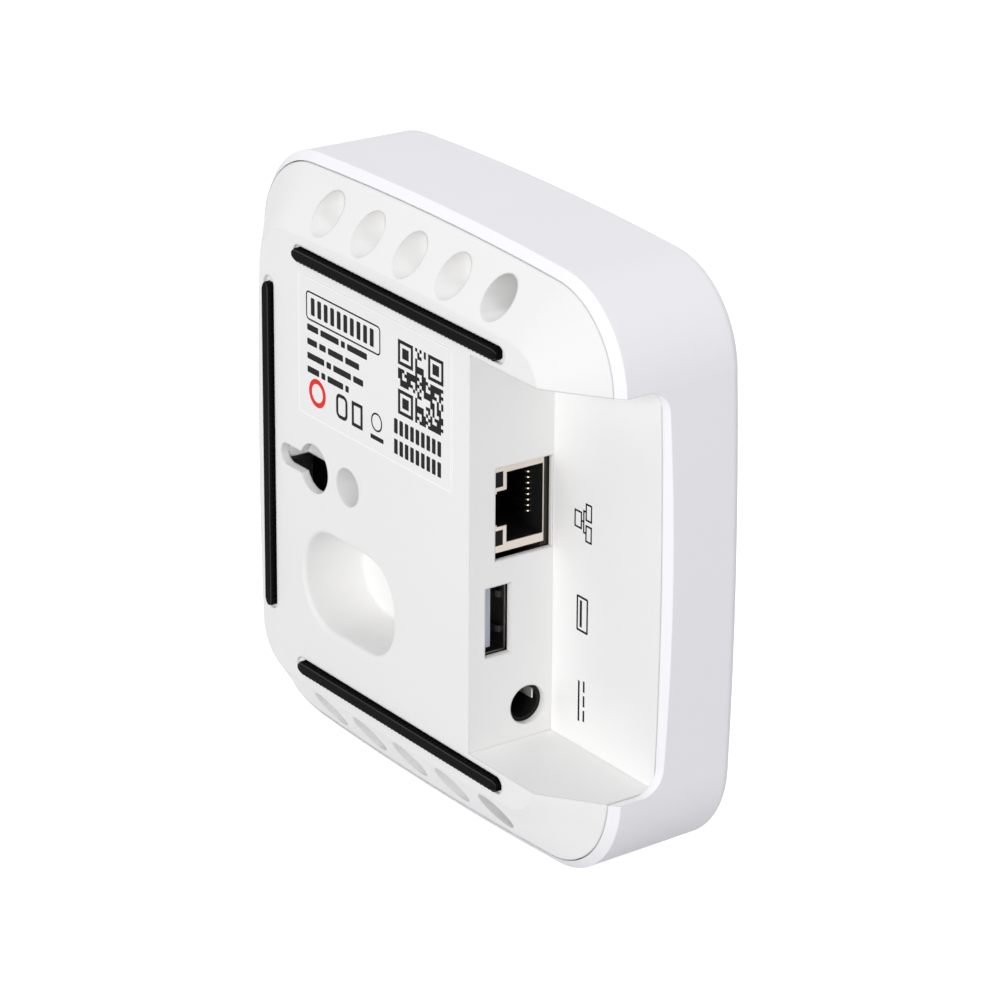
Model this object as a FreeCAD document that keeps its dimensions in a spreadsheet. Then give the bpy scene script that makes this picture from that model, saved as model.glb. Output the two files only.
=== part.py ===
import FreeCAD, Part
import math
import os
import re

import Sketcher

# Smart hub: a rounded square box that hangs on a wall by a keyhole or lies on three rubber feet.
# The row frame has +Z up, the back panel facing -Y and the port bay opening to +X.
# Heights below are measured from the middle of the case, and depths from the back plateau
# towards the front, so a depth grows along +Y.

# Driving sizes in millimetres. Each one becomes an alias of the spreadsheet.
SIZES = {
    "case_half": 54.0,  # half of the case's width and height, at the middle of a side
    "case_depth": 32.5,  # back plateau to front face
    "side_radius": 700.0,  # the sides bulge a little
    "corner_radius": 18.0,  # corners seen from the front
    "case_wall": 2.4,  # side wall of the front shell
    "front_wall": 2.0,  # front plate of the front shell
    "front_draft": 0.5,  # the side walls lean in towards the front
    "front_edge": 1.8,  # rounding of the front edge
    "rim_depth": 7.5,  # plateau down to the seam
    "rim_inset": 1.6,  # outer side down to the seam, seen from the back
    "rim_slope": 1.5,  # depth of the sloped white rim
    "rim_edge": 2.1,  # height of the cover's outer edge, down to the ledge it sits on
    "seam_gap": 0.2,  # dark line between cover and shell
    "cover_wall": 1.6,  # wall of the rear cover
    "plateau_half": 42.2,  # half of the flat back plateau
    "plateau_corner": 8.0,  # corner of the plateau
    "bay_left": 22.15,  # port wall's outer face
    "port_wall": 1.2,  # wall that the sockets look through
    "jack_lip": 0.6,  # what is left of that wall in front of the network jack
    "bay_half": 35.85,  # half of the port bay's height
    "bay_depth": 17.1,  # bay floor below the plateau
    "notch_corner": 4.2,  # rounding of the shell's notch
    "notch_slope": 1.5,  # drop of the shell's strip beside the bay floor
    "recess_radius": 3.5,  # round recesses in the sloped band
    "recess_pitch": 12.55,  # spacing of the recesses
    "recess_first": 24.8,  # first recess, to the left of the middle
    "recess_height": 46.15,  # recess row above and below the middle
    "recess_floor": 8.9,  # floor of a recess below the plateau
    "recess_wall": 1.1,  # cup round a recess
    "pocket_left": 28.0,  # finger pocket, left end
    "pocket_right": 0.5,  # finger pocket, right end, both to the left of the middle
    "pocket_top": 10.6,  # finger pocket, upper side below the middle
    "pocket_bottom": 28.6,  # finger pocket, lower side below the middle
    "pocket_corner": 8.2,  # rounding of the finger pocket
    "pocket_floor": 12.6,  # floor of the finger pocket
    "pocket_wall": 1.3,  # wall round the finger pocket
    "pocket_lip": 0.8,  # rounded mouth of the finger pocket
    "pocket_spread": 3.0,  # cutting tool above the finger pocket, outside its mouth
    "overcut": 1.0,  # cutting tools run past the surface that they open
    "overlap": 0.05,  # blocks that join reach into each other
    "well_x": 25.45,  # upper and lower screw wells, to the right of the middle
    "mid_well_x": 14.25,  # third screw well, to the left of the middle
    "middle_row": 0.3,  # third screw well and keyhole, above the middle
    "mid_well_radius": 3.4,  # mouth of the third screw well
    "well_radius": 3.2,  # lower part of each screw well
    "well_step": 14.0,  # depth where the wells narrow
    "well_floor": 21.8,  # the screw heads sit here
    "well_plate": 2.0,  # plate under a screw head
    "well_wall": 1.0,  # tube round a screw well
    "well_room": 0.5,  # board's hole round the third screw well
    "keyhole_x": 24.75,  # keyhole's round entry, to the left of the middle
    "keyhole_radius": 4.42,  # keyhole's round entry
    "slot_half": 1.95,  # half width of the keyhole's slot
    "slot_reach": 8.4,  # entry's middle to the middle of the slot's end
    "hood_floor": 5.8,  # floor behind the slot
    "hood_drop": 1.6,  # the hood behind the slot ends this far below the middle
    "hood_rise": 5.4,  # and this far above it
    "hood_wall": 1.0,  # wall of the hood
    "foot_length": 60.5,  # rubber foot
    "foot_width": 2.65,  # rubber foot
    "foot_proud": 1.0,  # rubber foot above the plateau
    "foot_sunk": 0.6,  # rubber foot in its groove
    "foot_offset": 38.45,  # middle of the case to the middle of a foot
    "groove_width": 3.1,  # groove of a rubber foot
    "groove_length": 62.4,  # groove of a rubber foot
    "groove_shift": 0.6,  # upper and lower grooves, to the right of the middle
    "groove_rise": 0.5,  # left groove, above the middle
    "top_slip": 0.3,  # upper foot in its groove, to the left
    "bottom_slip": 0.4,  # lower foot in its groove, to the right
    "left_slip": 0.2,  # left foot in its groove, downwards
    "label_left": 29.0,  # label's left side, to the left of the middle
    "label_width": 46.0,  # label
    "label_top": 35.2,  # label's upper side above the middle
    "label_height": 25.4,  # label
    "label_thick": 0.12,  # label
    "label_corner": 0.4,  # label
    "board_depth": 15.6,  # back face of the main board
    "board_thick": 1.6,  # main board
    "board_gap": 2.8,  # board to the shell's side walls
    "board_side_gap": 0.35,  # board to the port wall
    "board_corner": 12.0,  # corners of the main board
    "boss_radius": 3.0,  # posts that carry the board
    "board_margin": 1.6,  # board outside a post
    "boss_inset": 12.0,  # outer side of the case to a board post
    "board_screw_radius": 1.25,  # board screw
    "board_head_radius": 2.3,  # board screw's head
    "board_head_height": 1.6,  # board screw's head
    "board_screw_length": 7.0,  # board screw under its head
    "case_screw_radius": 1.5,  # case screw
    "case_head_radius": 2.8,  # case screw's head
    "case_head_height": 2.0,  # case screw's head
    "case_screw_length": 8.0,  # case screw under its head
    "case_boss_radius": 3.2,  # posts that take the case screws
    "cross_long": 2.4,  # cross slot in a screw's head
    "cross_wide": 0.5,  # cross slot in a screw's head
    "cross_deep": 0.8,  # cross slot in a screw's head
    "screw_gap": 0.03,  # screw in its hole
    "screw_room": 0.5,  # hole below a screw's tip
    "part_gap": 0.1,  # pieces that pass close by each other
    "socket_gap": 0.1,  # sockets behind the port wall
    "jack_z": 6.98,  # network jack above the middle
    "jack_width": 15.65,  # network jack
    "jack_height": 13.1,  # network jack off the board
    "jack_length": 16.0,  # network jack behind the port wall
    "jack_skin": 0.25,  # network jack's metal shield
    "jack_hole_top": 14.6,  # port wall's opening for the network jack
    "jack_hole_bottom": 2.0,  # the same, below the middle
    "jack_hole_near": 5.25,  # the same, depth of its near side
    "jack_hole_far": 16.95,  # the same, depth of its far side
    "plug_width": 12.6,  # network plug's space
    "plug_near": 5.5,  # network plug's space, from the jack's near side
    "plug_height": 7.4,  # network plug's space
    "plug_depth": 12.5,  # network plug's space
    "latch_width": 6.4,  # room for the plug's latch
    "latch_step": 2.0,  # first step for the latch
    "latch_tip_width": 5.6,  # second step for the latch
    "latch_tip": 1.6,  # second step for the latch
    "lamp_width": 2.75,  # lamp windows of the network jack
    "lamp_near": 2.1,  # lamp windows, from the jack's near side
    "lamp_height": 2.7,  # lamp windows
    "lamp_inset": 1.2,  # lamp windows, from the jack's sides
    "lamp_depth": 9.0,  # lamp light pipes
    "contact_pitch": 1.016,  # network contacts
    "contact_width": 0.45,  # network contacts
    "contact_thick": 0.35,  # network contacts
    "contact_start": 3.6,  # network contacts, behind the jack's face
    "contact_foot": 0.9,  # network contacts before they lean
    "contact_run": 7.5,  # network contacts
    "contact_rise": 1.8,  # network contacts lean away from the board
    "usb_z": 12.9,  # flat socket below the middle
    "usb_depth": 5.95,  # flat socket's middle
    "usb_width": 12.5,  # flat socket's inner width
    "usb_height": 5.12,  # flat socket's inner height
    "usb_skin": 0.3,  # flat socket's metal shell
    "usb_length": 14.0,  # flat socket
    "usb_set_back": 0.7,  # flat socket's face behind the power socket's
    "usb_hole_gap": 0.1,  # port wall's opening round the flat socket
    "tongue_width": 11.0,  # contact tongue
    "tongue_thick": 1.84,  # contact tongue
    "tongue_length": 8.4,  # contact tongue
    "tongue_short": 0.3,  # contact tongue's end behind the socket's face
    "tongue_lift": 0.66,  # contact tongue to the shell
    "pad_width": 1.0,  # tongue contacts
    "pad_thick": 0.15,  # tongue contacts
    "pad_length": 6.5,  # tongue contacts
    "pad_pitch": 2.3,  # tongue contacts
    "riser_inset": 1.0,  # riser under the flat socket
    "power_z": 29.85,  # round power socket below the middle
    "power_depth": 12.1,  # round power socket's axis
    "power_hole": 3.5,  # port wall's hole for the power plug
    "power_bore": 2.85,  # power socket's bore
    "power_width": 9.0,  # power socket's body
    "power_length": 13.5,  # power socket's body
    "power_bore_depth": 10.5,  # power socket's bore
    "power_pin": 1.0,  # power socket's pin
    "power_pin_short": 4.0,  # pin's tip behind the socket's face
    "leaf_thick": 0.3,  # spring leaf in the power socket
    "leaf_width": 1.9,  # spring leaf in the power socket
    "leaf_start": 0.5,  # spring leaf behind the socket's face
    "leaf_length": 7.0,  # spring leaf in the power socket
    "leaf_side": 2.1,  # spring leaf beside the socket's axis
    "transformer_x": 3.0,  # network transformer, to the left of the middle
    "transformer_z": 9.0,  # network transformer
    "transformer_width": 11.5,  # network transformer along X
    "transformer_height": 12.0,  # network transformer along Z
    "transformer_thick": 5.0,  # network transformer
    "capacitor_radius": 4.0,  # smoothing capacitors
    "capacitor_height": 8.0,  # smoothing capacitors
    "capacitor_x": 0.2,  # first capacitor, to the left of the middle
    "capacitor_z": 36.2,  # capacitors below the middle
    "capacitor_pitch": 9.6,  # capacitors
    "inductor_x": 21.0,  # power inductor, to the left of the middle
    "inductor_side": 8.0,  # power inductor
    "inductor_thick": 4.5,  # power inductor
    "inductor_dimple": 0.4,  # shallow dimple in the power inductor
    "regulator_x": 31.0,  # voltage regulators, to the left of the middle
    "regulator_side": 4.5,  # voltage regulators
    "regulator_thick": 1.2,  # voltage regulators
    "regulator_pitch": 6.5,  # voltage regulators
    "crystal_x": 6.0,  # first crystal, to the left of the middle
    "crystal_z": 20.0,  # crystals above the middle
    "crystal_side": 3.2,  # crystals
    "crystal_thick": 0.8,  # crystals
    "crystal_pitch": 14.0,  # crystals
    "processor_x": 27.0,  # processor, to the left of the middle
    "processor_z": 20.0,  # processor above the middle
    "processor_side": 15.0,  # processor
    "processor_thick": 1.5,  # processor
    "pad_thickness": 0.5,  # thermal pad
    "sink_side": 24.0,  # heat sink
    "sink_base": 1.5,  # heat sink's base
    "sink_height": 7.5,  # heat sink
    "sink_fin": 1.2,  # heat sink's fins
    "sink_pitch": 3.8,  # heat sink's fins
    "memory_x": 36.0,  # first memory chip, to the left of the middle
    "memory_width": 8.5,  # memory chips
    "memory_height": 12.5,  # memory chips
    "memory_thick": 1.0,  # memory chips
    "memory_pitch": 10.0,  # memory chips
    "flash_x": 3.0,  # storage chip, to the left of the middle
    "flash_z": 18.0,  # storage chip
    "flash_width": 11.5,  # storage chip
    "flash_height": 13.0,  # storage chip
    "flash_thick": 1.0,  # storage chip
    "network_chip_x": 9.5,  # network chip to the right of the middle
    "network_chip_z": 6.0,  # network chip
    "network_chip_side": 6.0,  # network chip
    "network_chip_thick": 0.9,  # network chip
    "module_width": 18.0,  # radio modules along X
    "module_height": 13.5,  # radio modules along Z
    "module_thick": 1.0,  # radio modules' boards
    "module_inset": 11.4,  # board's edge to the middle of a radio module
    "can_inset": 1.6,  # shield cans on the radio modules
    "can_thick": 2.0,  # shield cans on the radio modules
    "can_skin": 0.2,  # shield cans on the radio modules
    "upper_module_x": 5.0,  # upper radio module, to the left of the middle
    "lower_module_x": 5.0,  # lower radio module, to the left of the middle
    "corner_module_x": 27.0,  # lower left radio module
    "antenna_left": 32.0,  # antenna strip, to the left of the middle
    "antenna_length": 17.0,  # antenna strip
    "antenna_thick": 0.6,  # antenna strip
    "antenna_height": 7.0,  # antenna strip off the board
    "antenna_inset": 1.6,  # board's edge to the antenna strip
    "led_side": 2.0,  # status lamp
    "led_thick": 0.8,  # status lamp
    "guide_radius": 1.5,  # light guide
    "guide_flange": 2.6,  # light guide's collar
    "guide_flange_thick": 1.0,  # light guide's collar
    "guide_gap": 0.3,  # light guide above the status lamp
    "button_depth": 13.2,  # reset button's axis
    "button_radius": 2.2,  # reset button's cap
    "button_gap": 0.15,  # reset button in its hole
    "button_inset": 0.35,  # cap below the case's side
    "button_flange": 3.2,  # reset button's collar
    "button_flange_thick": 1.0,  # reset button's collar
    "button_seat": 0.2,  # collar to the inside of the wall
    "button_stem": 1.6,  # reset button's stem
    "switch_width": 6.0,  # reset switch along Z
    "switch_length": 4.2,  # reset switch along X
    "switch_inset": 0.6,  # board's edge to the reset switch
    "switch_height": 5.0,  # reset switch off the board
    "plunger_radius": 1.0,  # reset switch's plunger
    "plunger_reach": 1.4,  # plunger outside the switch
    "plunger_inside": 1.2,  # plunger inside the switch at rest
    "plunger_bore": 2.4,  # depth of the switch's bore
}

doc = FreeCAD.newDocument("smart_hub")
sheet = doc.addObject("Spreadsheet::Sheet", "sizes")
for row, (alias, size) in enumerate(SIZES.items(), start=1):
    sheet.set("A%d" % row, alias)
    sheet.set("B%d" % row, str(size))
    sheet.setAlias("B%d" % row, alias)
doc.recompute()


def linked(text):
    """An expression that reads the sheet for each alias in the text."""
    return re.sub(r"[a-z][a-z_]*", lambda word: "sizes." + word.group()
                  if word.group() in SIZES else word.group(), text)


def number(text):
    """The same expression worked out by the sheet in a spare cell."""
    sheet.set("D1", "=" + text)
    sheet.recompute()
    return float(sheet.get("D1"))


# Depths and places that several pieces share, as expressions.
MID_DEPTH = "((case_depth - foot_proud) / 2)"
SEAT = "(rim_depth + rim_edge)"
COVER_HALF_INSET = "(rim_inset + seam_gap)"
TUB_INSET = "(case_wall + seam_gap)"
TUB_FLOOR = "(bay_depth + cover_wall)"
TUB_LEFT = "(bay_left - port_wall)"
TUB_HALF = "(bay_half + cover_wall)"
FRONT_IN = "(case_depth - front_wall)"
BOARD_FRONT = "(board_depth + board_thick)"
BOARD_EDGE = "(case_half - case_wall - board_gap)"
BOARD_RIGHT = "(bay_left - port_wall - board_side_gap)"
SOCKET_FACE = "(bay_left - port_wall - socket_gap)"
JACK_FACE = "(bay_left - jack_lip - socket_gap)"
BOSS = "(case_half - boss_inset)"
JACK_BACK = JACK_FACE + " - jack_length"
JACK_NEAR = "(board_depth - jack_height)"
JACK_LOW = "jack_z - jack_width / 2"
JACK_HIGH = "jack_z + jack_width / 2"
RIGHT_BOSS = "(bay_left - port_wall - board_side_gap - boss_radius - board_margin)"
WELL_END = "(well_floor + well_plate)"


def place(piece, x, y, z):
    """Puts a piece at a place given from the middle of the plateau, in the row frame."""
    piece.setExpression("Placement.Base.x", linked(x))
    piece.setExpression("Placement.Base.y", linked("(%s) - %s" % (y, MID_DEPTH)))
    piece.setExpression("Placement.Base.z", linked("(%s) + case_half" % z))


def box(name, x, y, z):
    """A block between low and high values along each axis."""
    piece = doc.addObject("Part::Box", name)
    for side, (low, high) in zip(("Length", "Width", "Height"), (x, y, z)):
        piece.setExpression(side, linked("(%s) - (%s)" % (high, low)))
    place(piece, x[0], y[0], z[0])
    return piece


def centred(name, x, y, z, sides):
    """A block round a middle, with its three sides."""
    spans = [("(%s) - (%s) / 2" % (middle, side), "(%s) + (%s) / 2" % (middle, side))
             for middle, side in zip((x, y, z), sides)]
    return box(name, *spans)


TURNS = {"x": FreeCAD.Rotation(FreeCAD.Vector(0, 1, 0), 90),
         "y": FreeCAD.Rotation(FreeCAD.Vector(1, 0, 0), -90)}


def cylinder(name, axis, x, y, z, radius, length):
    """A round bar that starts at the given place and runs along +X or +Y."""
    piece = doc.addObject("Part::Cylinder", name)
    piece.Placement = FreeCAD.Placement(FreeCAD.Vector(), TURNS[axis])
    piece.setExpression("Radius", linked(radius))
    piece.setExpression("Height", linked(length))
    place(piece, x, y, z)
    return piece


def fuse(name, *pieces):
    joined = doc.addObject("Part::MultiFuse", name)
    joined.Shapes = list(pieces)
    joined.Refine = True
    return joined


def common(name, *pieces):
    shared = doc.addObject("Part::MultiCommon", name)
    shared.Shapes = list(pieces)
    return shared


def cut(name, base, *tools):
    result = doc.addObject("Part::Cut", name)
    result.Base = base
    result.Tool = tools[0] if len(tools) == 1 else fuse(name + "_tools", *tools)
    return result


def group(name, pieces):
    """Equal pieces that stay separate solids in one node."""
    together = doc.addObject("Part::Compound", name)
    together.Links = list(pieces)
    return together


def loop(name, count, make):
    """Calls make(index, piece name) for each copy."""
    return [make(index, "%s_%d" % (name, index + 1)) for index in range(count)]


def new_body(name):
    body = doc.addObject("PartDesign::Body", name)
    place(body, "0", "0", "0")
    return body


def flat_sketch(body, name, depth):
    """A sketch across the depth, with its own X along +X and its own Y along +Z."""
    sketch = body.newObject("Sketcher::SketchObject", name)
    plane = [item for item in body.Origin.OriginFeatures if item.Role == "XZ_Plane"][0]
    sketch.AttachmentSupport = [(plane, "")]
    sketch.MapMode = "FlatFace"
    sketch.setExpression("AttachmentOffset.Base.z", linked("-(%s)" % depth))
    return sketch


def bulged_square(body, name, depth, half, corner, bulge):
    """A rounded square of eight arcs: four wide ones for the sides and four for the corners."""
    sketch = flat_sketch(body, name, depth)
    side, small, wide = number(half), number(corner), number(bulge)
    shift = wide - side
    centre = (-shift + math.sqrt(2 * (wide - small) ** 2 - shift ** 2)) / 2
    swing = math.atan2(centre, centre + shift)
    up = FreeCAD.Vector(0, 0, 1)
    for quarter in range(4):
        turn = quarter * math.pi / 2
        middle = FreeCAD.Vector(-shift * math.cos(turn), -shift * math.sin(turn), 0)
        sketch.addGeometry(Part.ArcOfCircle(Part.Circle(middle, up, wide), turn - swing, turn + swing), False)
        turn45 = turn + math.pi / 4
        middle = FreeCAD.Vector(centre * math.sqrt(2) * math.cos(turn45),
                                centre * math.sqrt(2) * math.sin(turn45), 0)
        sketch.addGeometry(Part.ArcOfCircle(Part.Circle(middle, up, small),
                                            turn + swing, turn + math.pi / 2 - swing), False)
    for arc in range(8):
        sketch.addConstraint(Sketcher.Constraint("Tangent", arc, 2, (arc + 1) % 8, 1))
    for quarter in range(4):
        arc = 2 * quarter
        level = ("PointOnObject", -1) if quarter % 2 == 0 else ("PointOnObject", -2)
        sketch.addConstraint(Sketcher.Constraint(level[0], arc, 3, level[1]))
        kind = "DistanceX" if quarter % 2 == 0 else "DistanceY"
        ends = (arc, 3, -1, 1) if quarter in (0, 1) else (-1, 1, arc, 3)
        distance = sketch.addConstraint(Sketcher.Constraint(kind, *ends, shift))
        sketch.setExpression("Constraints[%d]" % distance, linked("(%s) - (%s)" % (bulge, half)))
        radius = sketch.addConstraint(Sketcher.Constraint("Radius", arc, wide))
        sketch.setExpression("Constraints[%d]" % radius, linked(bulge))
        radius = sketch.addConstraint(Sketcher.Constraint("Radius", arc + 1, small))
        sketch.setExpression("Constraints[%d]" % radius, linked(corner))
    return sketch


def inset_square(body, name, depth, inset):
    """The case's outline, drawn in by an inset."""
    return bulged_square(body, name, depth, "case_half - %s" % inset,
                         "corner_radius - %s" % inset, "side_radius - %s" % inset)


def rounded_rectangle(body, name, depth, left, right, low, high, corner):
    """Four lines and four corner arcs; left, right, low and high are expressions."""
    sketch = flat_sketch(body, name, depth)
    x0, x1, z0, z1, r = [number(text) for text in (left, right, low, high, corner)]
    up = FreeCAD.Vector(0, 0, 1)
    lines = [((x0 + r, z0), (x1 - r, z0)), ((x1, z0 + r), (x1, z1 - r)),
             ((x1 - r, z1), (x0 + r, z1)), ((x0, z1 - r), (x0, z0 + r))]
    middles = [(x1 - r, z0 + r), (x1 - r, z1 - r), (x0 + r, z1 - r), (x0 + r, z0 + r)]
    for index in range(4):
        start, end = [FreeCAD.Vector(a, b, 0) for a, b in lines[index]]
        sketch.addGeometry(Part.LineSegment(start, end), False)
        turn = (index - 1) * math.pi / 2
        middle = FreeCAD.Vector(middles[index][0], middles[index][1], 0)
        sketch.addGeometry(Part.ArcOfCircle(Part.Circle(middle, up, r), turn, turn + math.pi / 2), False)
    for item in range(8):
        sketch.addConstraint(Sketcher.Constraint("Tangent", item, 2, (item + 1) % 8, 1))
    for index in range(4):
        sketch.addConstraint(Sketcher.Constraint("Horizontal" if index % 2 == 0 else "Vertical", 2 * index))
        if index < 1:
            radius = sketch.addConstraint(Sketcher.Constraint("Radius", 1, r))
            sketch.setExpression("Constraints[%d]" % radius, linked(corner))
        else:
            sketch.addConstraint(Sketcher.Constraint("Equal", 1, 2 * index + 1))
    for kind, item, text, value in (("DistanceY", 0, low, z0), ("DistanceX", 2, right, x1),
                                    ("DistanceY", 4, high, z1), ("DistanceX", 6, left, x0)):
        distance = sketch.addConstraint(Sketcher.Constraint(kind, -1, 1, item, 1, value))
        sketch.setExpression("Constraints[%d]" % distance, linked(text))
    return sketch


def pad(body, sketch, name, length):
    """Raises a sketch towards the front."""
    feature = body.newObject("PartDesign::Pad", name)
    feature.Profile = sketch
    feature.Reversed = True
    feature.setExpression("Length", linked(length))
    return feature


def loft(body, name, sketches, ruled):
    feature = body.newObject("PartDesign::AdditiveLoft", name)
    feature.Profile = sketches[0]
    feature.Sections = sketches[1:]
    feature.Ruled = ruled
    return feature


def edge_names(shape, test):
    return ["Edge%d" % (index + 1) for index, edge in enumerate(shape.Edges) if test(edge)]


def at_depth(depth):
    """Picks edges that lie wholly at one depth of a body, before it is placed."""
    level = number(depth)
    return lambda edge: all(abs(vertex.Point.y - level) < 1e-4 for vertex in edge.Vertexes)


def round_edges(body, base, name, test, radius):
    doc.recompute()
    feature = body.newObject("PartDesign::Fillet", name)
    feature.Base = (base, edge_names(base.Shape, test))
    feature.setExpression("Radius", linked(radius))
    return feature


def prism(name, start, end, inset):
    """A straight block with the case's outline drawn in by an inset."""
    body = new_body(name)
    pad(body, inset_square(body, name + "_outline", start, inset), name + "_pad", "(%s) - (%s)" % (end, start))
    return body


nodes = []


def node(name, piece):
    """Names a finished sub-part."""
    piece.Label = name
    nodes.append(piece)
    return piece


# Front shell: sloped rim, side walls and front plate.
def front_shell():
    body = new_body("shell_outer")
    rim = inset_square(body, "rim_line", "rim_depth", "rim_inset")
    shoulder = inset_square(body, "shoulder_line", "rim_depth + rim_slope", "0")
    loft(body, "rim_slope_loft", [rim, shoulder], True)
    front = inset_square(body, "front_line", "case_depth", "front_draft")
    walls = loft(body, "wall_loft", [shoulder, front], True)
    round_edges(body, walls, "front_rounding", at_depth("case_depth"), "front_edge")
    cavity = prism("shell_cavity", SEAT, FRONT_IN, "case_wall")
    seat = prism("cover_opening", "rim_depth - overcut", SEAT, "rim_inset")
    posts = []
    for index, (x, z) in enumerate(board_posts()):
        posts.append(cylinder("board_post_%d" % index, "y", x, BOARD_FRONT, z, "boss_radius",
                              "%s - %s" % (FRONT_IN, BOARD_FRONT)))
    for index, (x, z) in enumerate(case_posts()):
        posts.append(cylinder("case_post_%d" % index, "y", x, WELL_END, z, "case_boss_radius",
                              "%s - %s" % (FRONT_IN, WELL_END)))
    pilots = []
    for index, (x, z) in enumerate(board_posts()):
        pilots.append(cylinder("board_pilot_%d" % index, "y", x, BOARD_FRONT, z,
                               "board_screw_radius + screw_gap", "board_screw_length - board_thick + screw_room"))
    for index, (x, z) in enumerate(case_posts()):
        pilots.append(cylinder("case_pilot_%d" % index, "y", x, WELL_END, z,
                               "case_screw_radius + screw_gap", "case_screw_length - well_plate + screw_room"))
    tray = cut("shell_tray", body, cavity, seat, bay_seat())
    with_posts = fuse("shell_posts", tray, *posts)
    guide_hole = cylinder("guide_hole", "y", "0", FRONT_IN + " - overcut", "0", "guide_radius + part_gap",
                          "front_wall + 2 * overcut")
    button_hole = cylinder("button_hole", "x", "-case_half - overcut", "button_depth", "0",
                           "button_radius + button_gap", "case_wall + 2 * overcut")
    return cut("front_shell_solid", with_posts, notch(), guide_hole, button_hole, *pilots)


def bay_seat():
    """Room in the shell's side for the outer ends of the bay's walls and floor."""
    inside = prism("bay_seat_outline", "rim_depth - overcut", TUB_FLOOR + " + seam_gap", "rim_inset")
    side = box("bay_seat_side", ("bay_left", "case_half + overcut"), ("0", TUB_FLOOR + " + seam_gap"),
               ("-%s - seam_gap" % TUB_HALF, "%s + seam_gap" % TUB_HALF))
    return common("bay_seat", inside, side)


def notch():
    """The gap in the shell's side where the port bay opens, with its sloped lower edge."""
    body = new_body("notch_tool")
    side = [item for item in body.Origin.OriginFeatures if item.Role == "YZ_Plane"][0]

    def section(name, x, grow):
        sketch = body.newObject("Sketcher::SketchObject", name)
        sketch.AttachmentSupport = [(side, "")]
        sketch.MapMode = "FlatFace"
        sketch.setExpression("AttachmentOffset.Base.z", linked(x))
        far = number("bay_depth + %s" % grow)
        tall = number("bay_half + part_gap")
        r = number("notch_corner")
        near = number("rim_depth - 2 * overcut")
        up = FreeCAD.Vector(0, 0, 1)
        spots = [(near, -tall), (far - r, -tall), (far, -tall + r), (far, tall - r), (far - r, tall), (near, tall)]
        spots = [FreeCAD.Vector(a, b, 0) for a, b in spots]
        sketch.addGeometry(Part.LineSegment(spots[0], spots[1]), False)
        low = Part.Circle(FreeCAD.Vector(far - r, -tall + r, 0), up, r)
        sketch.addGeometry(Part.ArcOfCircle(low, -math.pi / 2, 0), False)
        sketch.addGeometry(Part.LineSegment(spots[2], spots[3]), False)
        high = Part.Circle(FreeCAD.Vector(far - r, tall - r, 0), up, r)
        sketch.addGeometry(Part.ArcOfCircle(high, 0, math.pi / 2), False)
        sketch.addGeometry(Part.LineSegment(spots[4], spots[5]), False)
        sketch.addGeometry(Part.LineSegment(spots[5], spots[0]), False)
        for item in range(4):
            sketch.addConstraint(Sketcher.Constraint("Tangent", item, 2, item + 1, 1))
        sketch.addConstraint(Sketcher.Constraint("Coincident", 4, 2, 5, 1))
        sketch.addConstraint(Sketcher.Constraint("Coincident", 5, 2, 0, 1))
        sketch.addConstraint(Sketcher.Constraint("Horizontal", 0))
        sketch.addConstraint(Sketcher.Constraint("Vertical", 2))
        sketch.addConstraint(Sketcher.Constraint("Horizontal", 4))
        sketch.addConstraint(Sketcher.Constraint("Vertical", 5))
        sketch.addConstraint(Sketcher.Constraint("Equal", 1, 3))
        for kind, item, point, text, value in (("DistanceY", 4, 2, "bay_half + part_gap", tall),
                                               ("DistanceY", 0, 1, "-(bay_half + part_gap)", -tall),
                                               ("DistanceX", 0, 1, "rim_depth - 2 * overcut", near),
                                               ("DistanceX", 2, 1, "bay_depth + %s" % grow, far)):
            spot = sketch.addConstraint(Sketcher.Constraint(kind, -1, 1, item, point, value))
            sketch.setExpression("Constraints[%d]" % spot, linked(text))
        radius = sketch.addConstraint(Sketcher.Constraint("Radius", 1, r))
        sketch.setExpression("Constraints[%d]" % radius, linked("notch_corner"))
        return sketch

    inner = section("notch_inside", "case_half - 2 * case_wall", "0")
    middle = section("notch_seam", "case_half - rim_inset", "0")
    outer = section("notch_outside", "case_half + rim_inset", "notch_slope * 2")
    loft(body, "notch_inner_loft", [inner, middle], True)
    loft(body, "notch_outer_loft", [middle, outer], True)
    return body


def board_posts():
    return [("-" + BOSS, BOSS), ("-" + BOSS, "-" + BOSS), (RIGHT_BOSS, BOSS), (RIGHT_BOSS, "-" + BOSS)]


def case_posts():
    return [("well_x", "recess_height"), ("well_x", "-recess_height"), ("-mid_well_x", "middle_row")]


# Rear cover: plateau, sloped band, port bay, pockets and screw wells in one moulding.
def cover_dome(name, thickness, bottom):
    """Plateau and sloped band, drawn in by a thickness; zero gives the outer skin.

    The band falls 3 in 4, so a wall of even thickness moves the plateau's edge by a third
    of the thickness and the band's foot by a half.
    """
    body = new_body(name)
    drop = "(%s)" % thickness
    plateau = bulged_square(body, name + "_plateau", drop, "plateau_half - %s / 3" % drop,
                            "plateau_corner - %s / 3" % drop, "side_radius")
    foot = "(rim_depth + %s / 2)" % drop
    edge = inset_square(body, name + "_edge", foot, "(%s + %s)" % (COVER_HALF_INSET, drop))
    loft(body, name + "_band", [plateau, edge], True)
    pad(body, edge, name + "_rim", "(%s) - %s" % (bottom, foot))
    return body


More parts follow.
